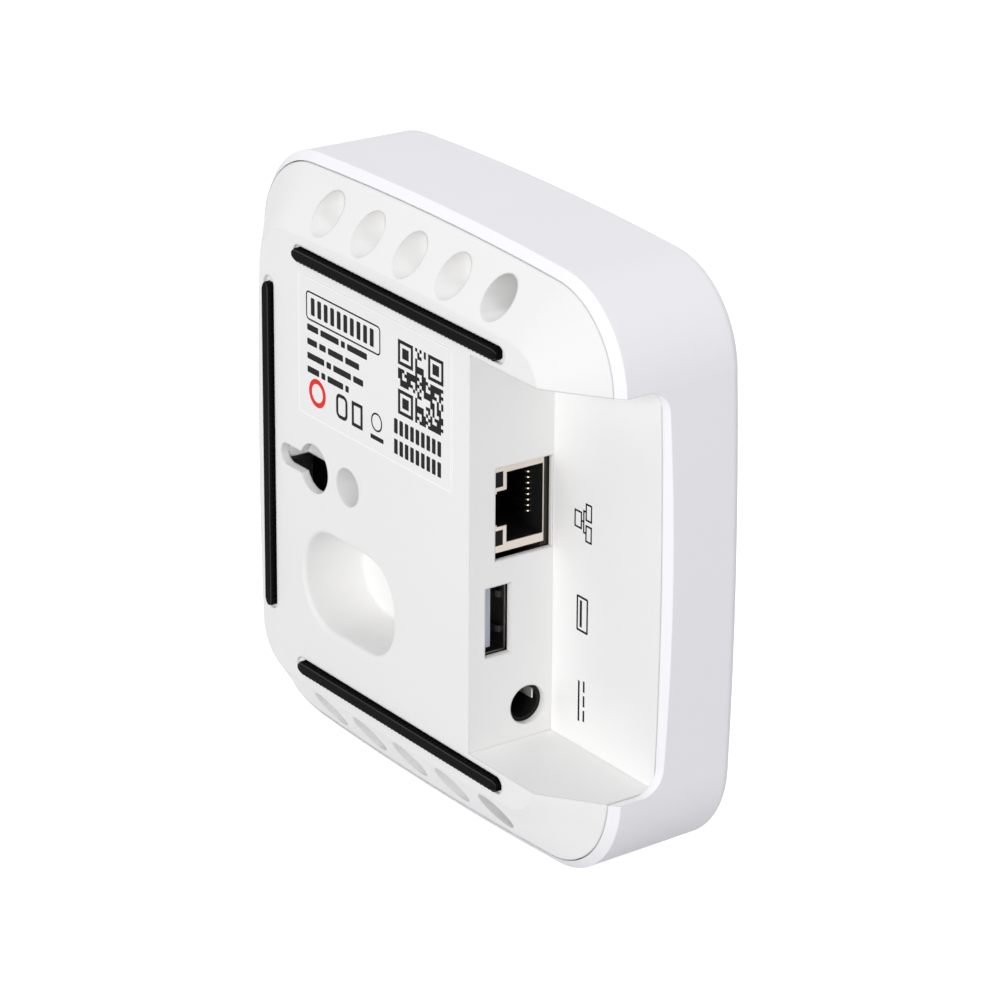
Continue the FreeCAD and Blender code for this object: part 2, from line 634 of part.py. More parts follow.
def rear_cover():
    outer = cover_dome("cover_outer", "0", SEAT)
    inner = cover_dome("cover_inner", "cover_wall", SEAT + " + overcut")
    skin = cut("cover_skin", outer, inner)
    deep = prism("cover_deep", "rim_depth", WELL_END, TUB_INSET)
    bay_deep = prism("bay_deep", "rim_depth", TUB_FLOOR, COVER_HALF_INSET)
    start = "cover_wall / 2"
    tub = box("tub_block", (TUB_LEFT, "case_half + overcut"), (start, TUB_FLOOR), ("-" + TUB_HALF, TUB_HALF))
    tub_solid = common("tub_solid", tub, fuse("tub_envelope", outer, bay_deep))
    blocks = []
    holes = []
    for row, side in enumerate(("", "-")):
        for index in range(4):
            x = "-recess_first + %d * recess_pitch" % index
            z = side + "recess_height"
            tag = "_%d_%d" % (row, index)
            blocks.append(cylinder("recess_cup" + tag, "y", x, start, z, "recess_radius + recess_wall",
                                   "recess_floor + recess_wall - %s" % start))
            holes.append(cylinder("recess" + tag, "y", x, "-overcut", z, "recess_radius",
                                  "recess_floor + overcut"))
    for index, (x, z) in enumerate(case_posts()):
        mouth = "mid_well_radius" if index == 2 else "recess_radius"
        tag = "_%d" % index
        blocks.append(cylinder("well_mouth_tube" + tag, "y", x, start, z, mouth + " + well_wall",
                               "well_step + well_wall - %s" % start))
        blocks.append(cylinder("well_tube" + tag, "y", x, start, z, "well_radius + well_wall",
                               "%s - %s" % (WELL_END, start)))
        holes.append(cylinder("well_mouth" + tag, "y", x, "-overcut", z, mouth, "well_step + overcut"))
        holes.append(cylinder("well" + tag, "y", x, "-overcut", z, "well_radius", "well_floor + overcut"))
        holes.append(cylinder("well_screw_hole" + tag, "y", x, "well_floor - overcut", z,
                              "case_screw_radius + part_gap", "well_plate + 2 * overcut"))
    blocks.append(finger_pocket("pocket_block", start, "pocket_floor + pocket_wall", "pocket_wall"))
    blocks.append(keyhole_hood(start))
    envelope = fuse("cover_envelope", outer, deep)
    added = common("cover_blocks", fuse("cover_block_set", *blocks), envelope)
    solid = fuse("cover_mass", skin, added, tub_solid)
    bay = box("bay_space", ("bay_left", "case_half + overcut"), ("-overcut", "bay_depth"),
              ("-bay_half", "bay_half"))
    hood_space = box("hood_space", ("-keyhole_x - slot_reach - slot_half", "-keyhole_x + keyhole_radius"),
                     ("cover_wall", "hood_floor"),
                     ("middle_row - hood_drop - overcut", "middle_row + hood_rise"))
    slot = box("slot_space", ("-keyhole_x - slot_reach", "-keyhole_x"), ("-overcut", "cover_wall + overlap"),
               ("middle_row - slot_half", "middle_row + slot_half"))
    slot_end = cylinder("slot_end", "y", "-keyhole_x - slot_reach", "-overcut", "middle_row", "slot_half",
                        "cover_wall + overcut + overlap")
    entry = cylinder("keyhole_entry", "y", "-keyhole_x", "-overcut", "middle_row", "keyhole_radius",
                     "cover_wall + overcut + overlap")
    holes += [bay, hood_space, slot, slot_end, entry]
    holes += socket_openings()
    holes += [foot_bar("groove_" + name, x, z, upright, "groove_length", "groove_width", "-overcut", "foot_sunk")
              for name, x, z, upright in GROOVES]
    plain = cut("cover_plain", solid, *holes)
    return cut("rear_cover_solid", plain, pocket_space())


def finger_pocket(name, start, end, grow):
    body = new_body(name)
    sketch = rounded_rectangle(body, name + "_line", start, "-pocket_left - %s" % grow,
                               "-pocket_right + %s" % grow, "-pocket_bottom - %s" % grow,
                               "-pocket_top + %s" % grow, "pocket_corner + %s" % grow)
    pad(body, sketch, name + "_pad", "(%s) - (%s)" % (end, start))
    return body


def pocket_space():
    """The finger pocket's hollow, with a rounded mouth and a rounded floor."""
    body = new_body("pocket_space")
    hollow_line = rounded_rectangle(body, "pocket_hollow_line", "0", "-pocket_left", "-pocket_right",
                                    "-pocket_bottom", "-pocket_top", "pocket_corner")
    pad(body, hollow_line, "pocket_hollow", "pocket_floor")
    above_line = rounded_rectangle(body, "pocket_above_line", "-overcut", "-pocket_left - pocket_spread",
                                   "-pocket_right + pocket_spread", "-pocket_bottom - pocket_spread",
                                   "-pocket_top + pocket_spread", "pocket_corner + pocket_spread")
    above = pad(body, above_line, "pocket_above", "overcut")
    mouth = round_edges(body, above, "pocket_mouth",
                        lambda edge: at_depth("0")(edge) and inside_line(edge), "pocket_lip")
    round_edges(body, mouth, "pocket_bottom_round", at_depth("pocket_floor"), "pocket_lip")
    return body


def inside_line(edge):
    """Tells the hollow's own mouth line from the wider line round it."""
    middle = edge.BoundBox.Center
    left, right = number("-pocket_left - pocket_lip"), number("-pocket_right + pocket_lip")
    low, high = number("-pocket_bottom - pocket_lip"), number("-pocket_top + pocket_lip")
    return left < middle.x < right and low < middle.z < high


def keyhole_hood(start):
    """Closes the space behind the slot, so that a wall screw's head can't reach the board."""
    return box("hood_block", ("-keyhole_x - slot_reach - slot_half - hood_wall", "-keyhole_x + keyhole_radius"),
               (start, "hood_floor + hood_wall"),
               ("middle_row - hood_drop", "middle_row + hood_rise + hood_wall"))


def socket_openings():
    """Openings in the port wall for the three sockets."""
    across = (TUB_LEFT + " - overcut", "bay_left + overcut")
    network = box("network_opening", across, ("jack_hole_near", "jack_hole_far"),
                  ("-jack_hole_bottom", "jack_hole_top"))
    flat = box("flat_opening", across,
               ("usb_depth - usb_height / 2 - usb_hole_gap", "usb_depth + usb_height / 2 + usb_hole_gap"),
               ("-usb_z - usb_width / 2 - usb_hole_gap", "-usb_z + usb_width / 2 + usb_hole_gap"))
    power = cylinder("power_opening", "x", across[0], "power_depth", "-power_z", "power_hole", "port_wall + 2 * overcut")
    jack_room = box("jack_room", (across[0], "bay_left - jack_lip"),
                    (JACK_NEAR + " - part_gap", "board_depth + part_gap"),
                    (JACK_LOW + " - part_gap", JACK_HIGH + " + part_gap"))
    lip_room = box("lip_room", (across[0], "bay_left - jack_lip"),
                   ("jack_hole_near - part_gap", "jack_hole_far + part_gap"),
                   ("-jack_hole_bottom - part_gap", "jack_hole_top + part_gap"))
    return [network, flat, power, jack_room, lip_room]


# Rubber feet, upper, lower and left, and the grooves that hold them with a little room along their length.
GROOVES = [("top", "groove_shift", "foot_offset", False), ("bottom", "groove_shift", "-foot_offset", False),
           ("left", "-foot_offset", "groove_rise", True)]
FEET = [("top", "groove_shift - top_slip", "foot_offset", False),
        ("bottom", "groove_shift + bottom_slip", "-foot_offset", False),
        ("left", "-foot_offset", "groove_rise - left_slip", True)]


def foot_bar(name, x, z, upright, length, width, start, end):
    """A straight bar with round ends along X, or along Z when upright."""
    run = "(%s) / 2 - (%s) / 2" % (length, width)
    depth = "(%s) - (%s)" % (end, start)
    low = "-(%s)" % run
    if upright:
        middle = box(name + "_bar", ("%s - %s / 2" % (x, width), "%s + %s / 2" % (x, width)), (start, end),
                     ("%s + %s" % (z, low), "%s + %s" % (z, run)))
        ends = [(x, "%s + %s" % (z, low)), (x, "%s + %s" % (z, run))]
    else:
        middle = box(name + "_bar", ("%s + %s" % (x, low), "%s + %s" % (x, run)), (start, end),
                     ("%s - %s / 2" % (z, width), "%s + %s / 2" % (z, width)))
        ends = [("%s + %s" % (x, low), z), ("%s + %s" % (x, run), z)]
    caps = [cylinder("%s_end_%d" % (name, index), "y", spot[0], start, spot[1], "(%s) / 2" % width, depth)
            for index, spot in enumerate(ends)]
    return fuse(name, middle, *caps)


# Label on the plateau.
def rating_label():
    body = new_body("label_body")
    sketch = rounded_rectangle(body, "label_line", "-label_thick", "-label_left", "label_width - label_left",
                               "label_top - label_height", "label_top", "label_corner")
    pad(body, sketch, "label_pad", "label_thick")
    return body


def screw(name, x, y, z, head, head_height, shank, length):
    """A screw whose head's underside is at y, pointing to the front, with a cross slot."""
    cap = cylinder(name + "_head", "y", x, "%s - %s" % (y, head_height), z, head, head_height)
    stem = cylinder(name + "_shank", "y", x, "%s - overlap" % y, z, shank, "%s + overlap" % length)
    slots = [centred("%s_slot_%d" % (name, turn), x, "%s - %s" % (y, head_height), z, sides)
             for turn, sides in enumerate((("cross_long", "2 * cross_deep", "cross_wide"),
                                           ("cross_wide", "2 * cross_deep", "cross_long")))]
    return cut(name, fuse(name + "_solid", cap, stem), *slots)


# Main board and what holds it.
def main_board():
    body = new_body("board_body")
    sketch = rounded_rectangle(body, "board_line", "board_depth", "-" + BOARD_EDGE, BOARD_RIGHT,
                               "-" + BOARD_EDGE, BOARD_EDGE, "board_corner")
    pad(body, sketch, "board_pad", "board_thick")
    holes = [cylinder("board_hole_%d" % index, "y", x, "board_depth - overcut", z,
                      "board_screw_radius + part_gap", "board_thick + 2 * overcut")
             for index, (x, z) in enumerate(board_posts())]
    holes.append(cylinder("board_well_hole", "y", "-mid_well_x", "board_depth - overcut", "middle_row",
                          "well_radius + well_wall + well_room", "board_thick + 2 * overcut"))
    return cut("main_board_solid", body, *holes)


def on_back(name, x, z, width, height, thick):
    """A flat piece that stands on the board's back face."""
    return box(name, ("%s - (%s) / 2" % (x, width), "%s + (%s) / 2" % (x, width)),
               ("board_depth - (%s)" % thick, "board_depth"),
               ("%s - (%s) / 2" % (z, height), "%s + (%s) / 2" % (z, height)))


def on_front(name, x, z, width, height, thick, base=BOARD_FRONT):
    """A flat piece on the board's front face, or on what stands on it."""
    return box(name, ("%s - (%s) / 2" % (x, width), "%s + (%s) / 2" % (x, width)),
               (base, "%s + (%s)" % (base, thick)),
               ("%s - (%s) / 2" % (z, height), "%s + (%s) / 2" % (z, height)))


# Network jack: metal shield, plastic body, eight contacts and two lamps.
def jack_spaces(name, start, end):
    """The plug's space with its two latch steps, between two places along X."""
    plug_near = "%s + plug_near" % JACK_NEAR
    plug = box(name + "_plug", (start, end), (plug_near, plug_near + " + plug_height"),
               ("jack_z - plug_width / 2", "jack_z + plug_width / 2"))
    latch = box(name + "_latch", (start, end), (plug_near + " - latch_step", plug_near + " + overlap"),
                ("jack_z - latch_width / 2", "jack_z + latch_width / 2"))
    tip = box(name + "_tip", (start, end),
              (plug_near + " - latch_step - latch_tip", plug_near + " - latch_step + overlap"),
              ("jack_z - latch_tip_width / 2", "jack_z + latch_tip_width / 2"))
    return [plug, latch, tip]


def lamp_blocks(name, start, end, grow):
    near = "%s + lamp_near" % JACK_NEAR
    spans = [("%s + lamp_inset" % JACK_LOW, "%s + lamp_inset + lamp_width" % JACK_LOW),
             ("%s - lamp_inset - lamp_width" % JACK_HIGH, "%s - lamp_inset" % JACK_HIGH)]
    return [box("%s_%d" % (name, index), (start, end),
                ("%s - %s" % (near, grow), "%s + lamp_height + %s" % (near, grow)),
                ("%s - %s" % (low, grow), "%s + %s" % (high, grow)))
            for index, (low, high) in enumerate(spans)]


def jack_shield():
    outer = box("shield_outer", (JACK_BACK, JACK_FACE), (JACK_NEAR, "board_depth"), (JACK_LOW, JACK_HIGH))
    inner = box("shield_inner", (JACK_BACK + " + jack_skin", JACK_FACE + " - jack_skin"),
                (JACK_NEAR + " + jack_skin", "board_depth + overcut"),
                (JACK_LOW + " + jack_skin", JACK_HIGH + " - jack_skin"))
    spaces = jack_spaces("shield_space", JACK_FACE + " - overcut", JACK_FACE + " + overcut")
    lamps = lamp_blocks("shield_lamp", JACK_FACE + " - overcut", JACK_FACE + " + overcut", "0")
    return cut("jack_shield_solid", outer, inner, *spaces, *lamps)


def jack_body():
    block = box("jack_block", (JACK_BACK + " + jack_skin", JACK_FACE + " - jack_skin"),
                (JACK_NEAR + " + jack_skin", "board_depth"),
                (JACK_LOW + " + jack_skin", JACK_HIGH + " - jack_skin"))
    spaces = jack_spaces("jack_space", JACK_FACE + " - plug_depth", JACK_FACE + " + overcut")
    lamps = lamp_blocks("jack_lamp", JACK_FACE + " - lamp_depth", JACK_FACE + " + overcut", "0")
    return cut("jack_body_solid", block, *spaces, *lamps)


def jack_contacts():
    """Eight springs that start at the board side of the plug's space and lean into it."""
    wall = "%s + plug_near + plug_height" % JACK_NEAR

    def contact(index, name):
        z = "jack_z + (%d - 3.5) * contact_pitch" % index
        span = ("%s - contact_width / 2" % z, "%s + contact_width / 2" % z)
        foot = box(name + "_foot", (JACK_FACE + " - contact_start - contact_foot",
                                    JACK_FACE + " - contact_start"), (wall + " - contact_thick", wall), span)
        bend = JACK_FACE + " - contact_start - contact_foot"
        steps = 4
        leaning = []
        for step in range(steps):
            low = bend + " - contact_run * %d / %d" % (step + 1, steps)
            high = bend + " - contact_run * %d / %d + overlap" % (step, steps)
            rise = "%s - contact_thick - contact_rise * %d / %d" % (wall, step + 1, steps)
            leaning.append(box("%s_run_%d" % (name, step), (low, high), (rise, rise + " + contact_thick + "
                               "contact_rise / %d" % steps), span))
        return fuse(name, foot, *leaning)

    return group("jack_contact_set", loop("jack_contact", 8, contact))


# Flat socket: metal shell, tongue with four contacts and a riser down to the board.
FLAT_FACE = "(%s - usb_set_back)" % SOCKET_FACE
FLAT_BACK = FLAT_FACE + " - usb_length"
FLAT_NEAR = "usb_depth - usb_height / 2"
FLAT_FAR = "usb_depth + usb_height / 2"
FLAT_LOW = "-usb_z - usb_width / 2"
FLAT_HIGH = "-usb_z + usb_width / 2"
TONGUE_BASE = FLAT_FACE + " - tongue_short - tongue_length"


def usb_shell():
    outer = box("usb_outer", (FLAT_BACK, FLAT_FACE), (FLAT_NEAR + " - usb_skin", FLAT_FAR + " + usb_skin"),
                (FLAT_LOW + " - usb_skin", FLAT_HIGH + " + usb_skin"))
    inner = box("usb_inner", (FLAT_BACK + " + usb_skin", FLAT_FACE + " + overcut"), (FLAT_NEAR, FLAT_FAR),
                (FLAT_LOW, FLAT_HIGH))
    return cut("usb_shell_solid", outer, inner)


def usb_tongue():
    base = box("tongue_base", (FLAT_BACK + " + usb_skin", TONGUE_BASE), (FLAT_NEAR, FLAT_FAR),
               (FLAT_LOW, FLAT_HIGH))
    tongue = box("tongue", (TONGUE_BASE + " - overlap", TONGUE_BASE + " + tongue_length"),
                 (FLAT_NEAR + " + tongue_lift", FLAT_NEAR + " + tongue_lift + tongue_thick"),
                 ("-usb_z - tongue_width / 2", "-usb_z + tongue_width / 2"))
    return fuse("usb_tongue_solid", base, tongue)


def usb_contacts():
    under = FLAT_NEAR + " + tongue_lift + tongue_thick"

    def strip(index, name):
        z = "-usb_z + (%d - 1.5) * pad_pitch" % index
        return box(name, (TONGUE_BASE + " + part_gap", TONGUE_BASE + " + part_gap + pad_length"),
                   (under, under + " + pad_thick"), ("%s - pad_width / 2" % z, "%s + pad_width / 2" % z))

    return group("usb_contact_set", loop("usb_contact", 4, strip))


def usb_riser():
    return box("usb_riser_solid", (FLAT_BACK + " + riser_inset", FLAT_FACE + " - riser_inset"),
               (FLAT_FAR + " + usb_skin", "board_depth"), (FLAT_LOW, FLAT_HIGH))


# Round power socket: body, centre pin and spring leaf.
POWER_BACK = SOCKET_FACE + " - power_length"


def leaf_box(name):
    """The spring leaf's own room, at the front side of the bore."""
    side = "power_depth + leaf_side"
    return box(name, (SOCKET_FACE + " - leaf_start - leaf_length", SOCKET_FACE + " - leaf_start"),
               (side, side + " + leaf_thick"), ("-power_z", "-power_z + leaf_width"))


def power_body():
    block = box("power_block", (POWER_BACK, SOCKET_FACE),
                ("2 * power_depth - board_depth", "board_depth"),
                ("-power_z - power_width / 2", "-power_z + power_width / 2"))
    bore = cylinder("power_bore_tool", "x", SOCKET_FACE + " - power_bore_depth", "power_depth", "-power_z",
                    "power_bore", "power_bore_depth + overcut")
    return cut("power_body_solid", block, bore, leaf_box("leaf_groove"))


def power_pin():
    return cylinder("power_pin_solid", "x", SOCKET_FACE + " - power_bore_depth", "power_depth", "-power_z",
                    "power_pin", "power_bore_depth - power_pin_short")


def power_leaf():
    return leaf_box("power_leaf_solid")


# Chips and coils.
def power_capacitors():
    def can(index, name):
        return cylinder(name, "y", "-capacitor_x - %d * capacitor_pitch" % index,
                        "board_depth - capacitor_height", "-capacitor_z", "capacitor_radius",
                        "capacitor_height")

    return group("capacitor_set", loop("capacitor", 2, can))


def power_inductor():
    block = on_back("inductor_block", "-inductor_x", "-capacitor_z", "inductor_side", "inductor_side",
                    "inductor_thick")
    dimple = cylinder("inductor_dimple", "y", "-inductor_x", "board_depth - inductor_thick - overcut",
                      "-capacitor_z", "inductor_side / 4", "overcut + inductor_dimple")
    return cut("inductor_solid", block, dimple)


def heatsink():
    base_depth = "(board_depth + board_thick + processor_thick + pad_thickness)"
    base = on_front("sink_base_block", "-processor_x", "processor_z", "sink_side", "sink_side", "sink_base",
                    base_depth)

    def fin(index, name):
        return on_front(name, "-processor_x + (%d - 2.5) * sink_pitch" % index, "processor_z", "sink_fin",
                        "sink_side", "sink_height", base_depth)

    return fuse("heatsink_solid", base, *loop("sink_fin", 6, fin))


def radio_module(name, x, z):
    """A small board with a shield can on it."""
    board = on_front(name + "_board_block", x, z, "module_width", "module_height", "module_thick")
    base = "(board_depth + board_thick + module_thick)"
    outer = on_front(name + "_can_outer", x, z, "module_width - 2 * can_inset",
                     "module_height - 2 * can_inset", "can_thick", base)
    inner = on_front(name + "_can_inner", x, z, "module_width - 2 * can_inset - 2 * can_skin",
                     "module_height - 2 * can_inset - 2 * can_skin", "can_thick - can_skin + overcut",
                     "(%s - overcut)" % base)
    return board, cut(name + "_can_solid", outer, inner)


def antenna():
    edge = "%s - antenna_inset" % BOARD_EDGE
    strip = box("antenna_strip", ("-antenna_left", "-antenna_left + antenna_length"),
                (BOARD_FRONT + " + antenna_height / 2", BOARD_FRONT + " + antenna_height"),
                (edge + " - antenna_thick", edge))
    legs = [box("antenna_leg_%d" % index, (low, low + " + 2 * antenna_thick"),
                (BOARD_FRONT, BOARD_FRONT + " + antenna_height"), (edge + " - antenna_thick", edge))
            for index, low in enumerate(("-antenna_left", "-antenna_left + antenna_length / 3"))]
    return fuse("antenna_solid", strip, *legs)


def light_guide():
    start = BOARD_FRONT + " + led_thick + guide_gap"
    rod = cylinder("guide_rod", "y", "0", start, "0", "guide_radius", "case_depth - (%s)" % start)
    collar = cylinder("guide_collar", "y", "0", FRONT_IN + " - guide_flange_thick", "0", "guide_flange",
                      "guide_flange_thick")
    return fuse("light_guide_solid", rod, collar)


# Reset button in the left side, its switch and the switch's plunger.
BUTTON_END = "(-case_half + button_inset)"
SWITCH_LEFT = "(-%s + switch_inset)" % BOARD_EDGE
PLUNGER_TIP = "(%s - plunger_reach)" % SWITCH_LEFT


def reset_button():
    cap = cylinder("button_cap", "x", BUTTON_END, "button_depth", "0", "button_radius",
                   "case_wall - button_inset + button_seat + overlap")
    collar_start = "(-case_half + case_wall + button_seat)"
    collar = cylinder("button_collar", "x", collar_start, "button_depth", "0", "button_flange",
                      "button_flange_thick")
    stem = cylinder("button_stem_bar", "x", collar_start, "button_depth", "0", "button_stem",
                    "%s - %s" % (PLUNGER_TIP, collar_start))
    return fuse("reset_button_solid", cap, collar, stem)


def switch_body():
    block = box("switch_block", (SWITCH_LEFT, SWITCH_LEFT + " + switch_length"),
                ("board_depth - switch_height", "board_depth"), ("-switch_width / 2", "switch_width / 2"))
    bore = cylinder("switch_bore", "x", SWITCH_LEFT + " - overcut", "button_depth", "0",
                    "plunger_radius + part_gap", "plunger_bore + overcut")
    return cut("switch_body_solid", block, bore)


def switch_plunger():
    return cylinder("switch_plunger_solid", "x", PLUNGER_TIP, "button_depth", "0", "plunger_radius",
                    "plunger_reach + plunger_inside")


node("front_shell", front_shell())
node("rear_cover", rear_cover())
for foot, x, z, upright in FEET:
    node("rubber_foot_" + foot, foot_bar("foot_" + foot, x, z, upright, "foot_length", "foot_width",
                                         "-foot_proud", "foot_sunk"))
node("rating_label", rating_label())
node("case_screws", group("case_screw_set", [
    screw("case_screw_%d" % index, x, "well_floor", z, "case_head_radius", "case_head_height",
          "case_screw_radius", "case_screw_length") for index, (x, z) in enumerate(case_posts())]))
node("main_board", main_board())
node("board_screws", group("board_screw_set", [
    screw("board_screw_%d" % index, x, "board_depth", z, "board_head_radius", "board_head_height",
          "board_screw_radius", "board_screw_length") for index, (x, z) in enumerate(board_posts())]))
node("network_jack_shield", jack_shield())
node("network_jack_body", jack_body())
node("network_jack_contacts", jack_contacts())
node("network_jack_lamps", group("lamp_set", lamp_blocks("lamp", JACK_FACE + " - lamp_depth",
                                                         JACK_FACE, "0")))
node("usb_socket_shell", usb_shell())
node("usb_socket_tongue", usb_tongue())
node("usb_socket_contacts", usb_contacts())
node("usb_socket_riser", usb_riser())
node("power_socket_body", power_body())
node("power_socket_pin", power_pin())
node("power_socket_spring", power_leaf())
node("network_transformer", on_back("transformer", "-transformer_x", "transformer_z", "transformer_width",
                                    "transformer_height", "transformer_thick"))
node("power_capacitors", power_capacitors())
node("power_inductor", power_inductor())
node("voltage_regulators", group("regulator_set", loop("regulator", 2, lambda index, name: on_back(
    name, "-regulator_x", "-capacitor_z + (%d - 0.5) * regulator_pitch" % index, "regulator_side",
    "regulator_side", "regulator_thick"))))
node("crystals", group("crystal_set", loop("crystal", 2, lambda index, name: on_back(
    name, "-crystal_x - %d * crystal_pitch" % index, "crystal_z", "crystal_side", "crystal_side * 0.8",
    "crystal_thick"))))
node("processor", on_front("processor_chip", "-processor_x", "processor_z", "processor_side",
                           "processor_side", "processor_thick"))
node("thermal_pad", on_front("pad_sheet", "-processor_x", "processor_z", "processor_side", "processor_side",
                             "pad_thickness", "(board_depth + board_thick + processor_thick)"))
node("heatsink", heatsink())
node("memory_chips", group("memory_set", loop("memory_chip", 2, lambda index, name: on_front(
    name, "-memory_x + %d * memory_pitch" % index, "0", "memory_width", "memory_height", "memory_thick"))))
node("storage_chip", on_front("storage", "-flash_x", "flash_z", "flash_width", "flash_height", "flash_thick"))
node("network_chip", on_front("network_chip_block", "network_chip_x", "network_chip_z", "network_chip_side",
                              "network_chip_side", "network_chip_thick"))
MODULES = [("wireless_network", "-upper_module_x", "%s - module_inset" % BOARD_EDGE),
           ("mesh_radio", "-lower_module_x", "-%s + module_inset" % BOARD_EDGE),
           ("long_range_radio", "-corner_module_x", "-%s + module_inset" % BOARD_EDGE)]
for title, x, z in MODULES:
    module_board, module_can = radio_module(title, x, z)
    node(title + "_board", module_board)
    node(title + "_shield", module_can)
node("long_range_antenna", antenna())
node("status_lamp", on_front("status_lamp_block", "0", "0", "led_side", "led_side", "led_thick"))
node("light_guide", light_guide())
node("reset_button", reset_button())
node("reset_switch_body", switch_body())
node("reset_switch_plunger", switch_plunger())

doc.recompute()

faults = [item.Name for item in doc.Objects if set(item.State) & {"Invalid", "Error"}]
if faults:
    raise SystemExit("these objects failed: " + ", ".join(faults))
for piece in nodes:
    shape = piece.Shape
    if shape.isNull() or not shape.isValid() or not shape.Solids:
        raise SystemExit("the shape of %s is not sound" % piece.Label)

os.makedirs("parts", exist_ok=True)
for piece in nodes:
    piece.Shape.exportStep(os.path.join("parts", piece.Label + ".step"))
    bounds = piece.Shape.BoundBox
    print("%-26s solids %2d volume %9.1f  x %6.2f %6.2f  y %6.2f %6.2f  z %6.2f %6.2f" % (
        piece.Label, len(piece.Shape.Solids), piece.Shape.Volume, bounds.XMin, bounds.XMax,
        bounds.YMin, bounds.YMax, bounds.ZMin, bounds.ZMax))
print(len(nodes), "nodes")
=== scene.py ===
# %% [markdown]
# A smart hub, seen from behind. The shapes of its case, board and sockets come from the CAD model,
# which is loaded here as a fixed frame. This script adds what a CAD model leaves out: how each
# surface looks, and small things that are easier to make as meshes, such as printing, ribbed rubber
# and bent contact wires.

# %% Load the frame
import math

import bmesh
import bpy
from mathutils import Matrix, Vector


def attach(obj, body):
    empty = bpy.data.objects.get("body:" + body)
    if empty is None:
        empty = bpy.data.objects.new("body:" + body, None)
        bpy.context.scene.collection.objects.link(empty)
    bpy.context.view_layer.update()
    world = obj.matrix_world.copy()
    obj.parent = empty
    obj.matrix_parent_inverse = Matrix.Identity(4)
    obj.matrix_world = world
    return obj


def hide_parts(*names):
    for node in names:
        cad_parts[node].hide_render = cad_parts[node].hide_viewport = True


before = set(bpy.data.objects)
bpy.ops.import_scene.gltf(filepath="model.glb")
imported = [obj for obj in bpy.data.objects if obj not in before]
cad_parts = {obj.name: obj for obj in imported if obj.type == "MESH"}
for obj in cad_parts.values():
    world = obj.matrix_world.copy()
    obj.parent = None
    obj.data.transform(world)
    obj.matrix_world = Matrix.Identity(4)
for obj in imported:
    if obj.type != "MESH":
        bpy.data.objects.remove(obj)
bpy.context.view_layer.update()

# %% [markdown]
# Everything on the hub is easiest to place from the middle of its back panel: so far to the right,
# so deep under the flat back, so far above the middle. One helper turns that into Blender's metres.

# %% Places on the hub
MM = 0.001
CASE_HALF = 54.0
PLATEAU_Y = -15.75


def on_hub(right, depth, up):
    """A point from the middle of the back panel, in millimetres, as a place in metres."""
    return Vector((right, depth + PLATEAU_Y, up + CASE_HALF)) * MM


print("middle of the back panel", [round(value, 4) for value in on_hub(0, 0, 0)])

# %% [markdown]
# The camera stands to the right of the back panel and above it. A long lens keeps the case's edges
# nearly parallel, as in product photographs. A constraint could aim the camera, but its angles were
# fitted to the photograph, so the pose is built from them: one turns it round the hub, one lifts
# it, and a very small roll levels the picture.

# %% Camera
CAMERA_TURN = math.radians(54.576)
CAMERA_LIFT = math.radians(22.307)
CAMERA_ROLL = math.radians(0.359)
CAMERA_DISTANCE = 856.37
CAMERA_SIDE = 17.878
CAMERA_UP = 2.640
CAMERA_LENS = 182.34

backward = Vector((math.sin(CAMERA_TURN) * math.cos(CAMERA_LIFT),
                   -math.cos(CAMERA_TURN) * math.cos(CAMERA_LIFT), math.sin(CAMERA_LIFT)))
level_right = Vector((0, 0, 1)).cross(backward).normalized()
level_up = backward.cross(level_right)
camera_right = math.cos(CAMERA_ROLL) * level_right + math.sin(CAMERA_ROLL) * level_up
camera_up = math.cos(CAMERA_ROLL) * level_up - math.sin(CAMERA_ROLL) * level_right
camera_place = on_hub(0, 0, 0) + (CAMERA_SIDE * camera_right + CAMERA_UP * camera_up
                                  + CAMERA_DISTANCE * backward) * MM
camera_data = bpy.data.cameras.new("photo_camera")
camera_data.lens = CAMERA_LENS
camera_data.sensor_width = 36.0
camera_data.clip_start = 0.01
camera = bpy.data.objects.new("photo_camera", camera_data)
bpy.context.scene.collection.objects.link(camera)
turned = Matrix((camera_right, camera_up, backward)).transposed().to_4x4()
camera.matrix_world = Matrix.Translation(camera_place) @ turned
bpy.context.scene.camera = camera
print("camera at", [round(value, 4) for value in camera_place])

# %% [markdown]
# The picture was taken in a light tent, so pale light comes from all round. A picture of a studio
# could light the scene, but for white plastic a plain world colour does as well and needs no file.
# What the camera sees of the world is plain white. A Light Path node switches that in, so the white
# background adds no light.

# %% World
scene = bpy.context.scene
scene.view_settings.view_transform = "Standard"
AMBIENT = 0.60
TENT_COLOR = (0.980, 0.975, 1.015)
world = bpy.data.worlds.new("light_tent")
scene.world = world
world.use_nodes = True
tent = world.node_tree
tent.nodes.clear()


def add_node(tree, kind, place, **settings):
    """Adds a node, sets its properties and the named inputs that have a plain value."""
    made = tree.nodes.new(kind)
    made.location = place
    for name, value in settings.items():
        if hasattr(made, name):
            setattr(made, name, value)
        else:
            made.inputs[name.replace("_", " ")].default_value = value
    return made


def seen_ray(tree, place):
    """1 for rays that show the background: straight, mirrored or through glass."""
    path = add_node(tree, "ShaderNodeLightPath", place)
    first = add_node(tree, "ShaderNodeMath", (place[0] + 200, place[1]), operation="MAXIMUM")
    second = add_node(tree, "ShaderNodeMath", (place[0] + 400, place[1]), operation="MAXIMUM")
    tree.links.new(path.outputs["Is Camera Ray"], first.inputs[0])
    tree.links.new(path.outputs["Is Glossy Ray"], first.inputs[1])
    tree.links.new(first.outputs[0], second.inputs[0])
    tree.links.new(path.outputs["Is Transmission Ray"], second.inputs[1])
    return second.outputs[0]


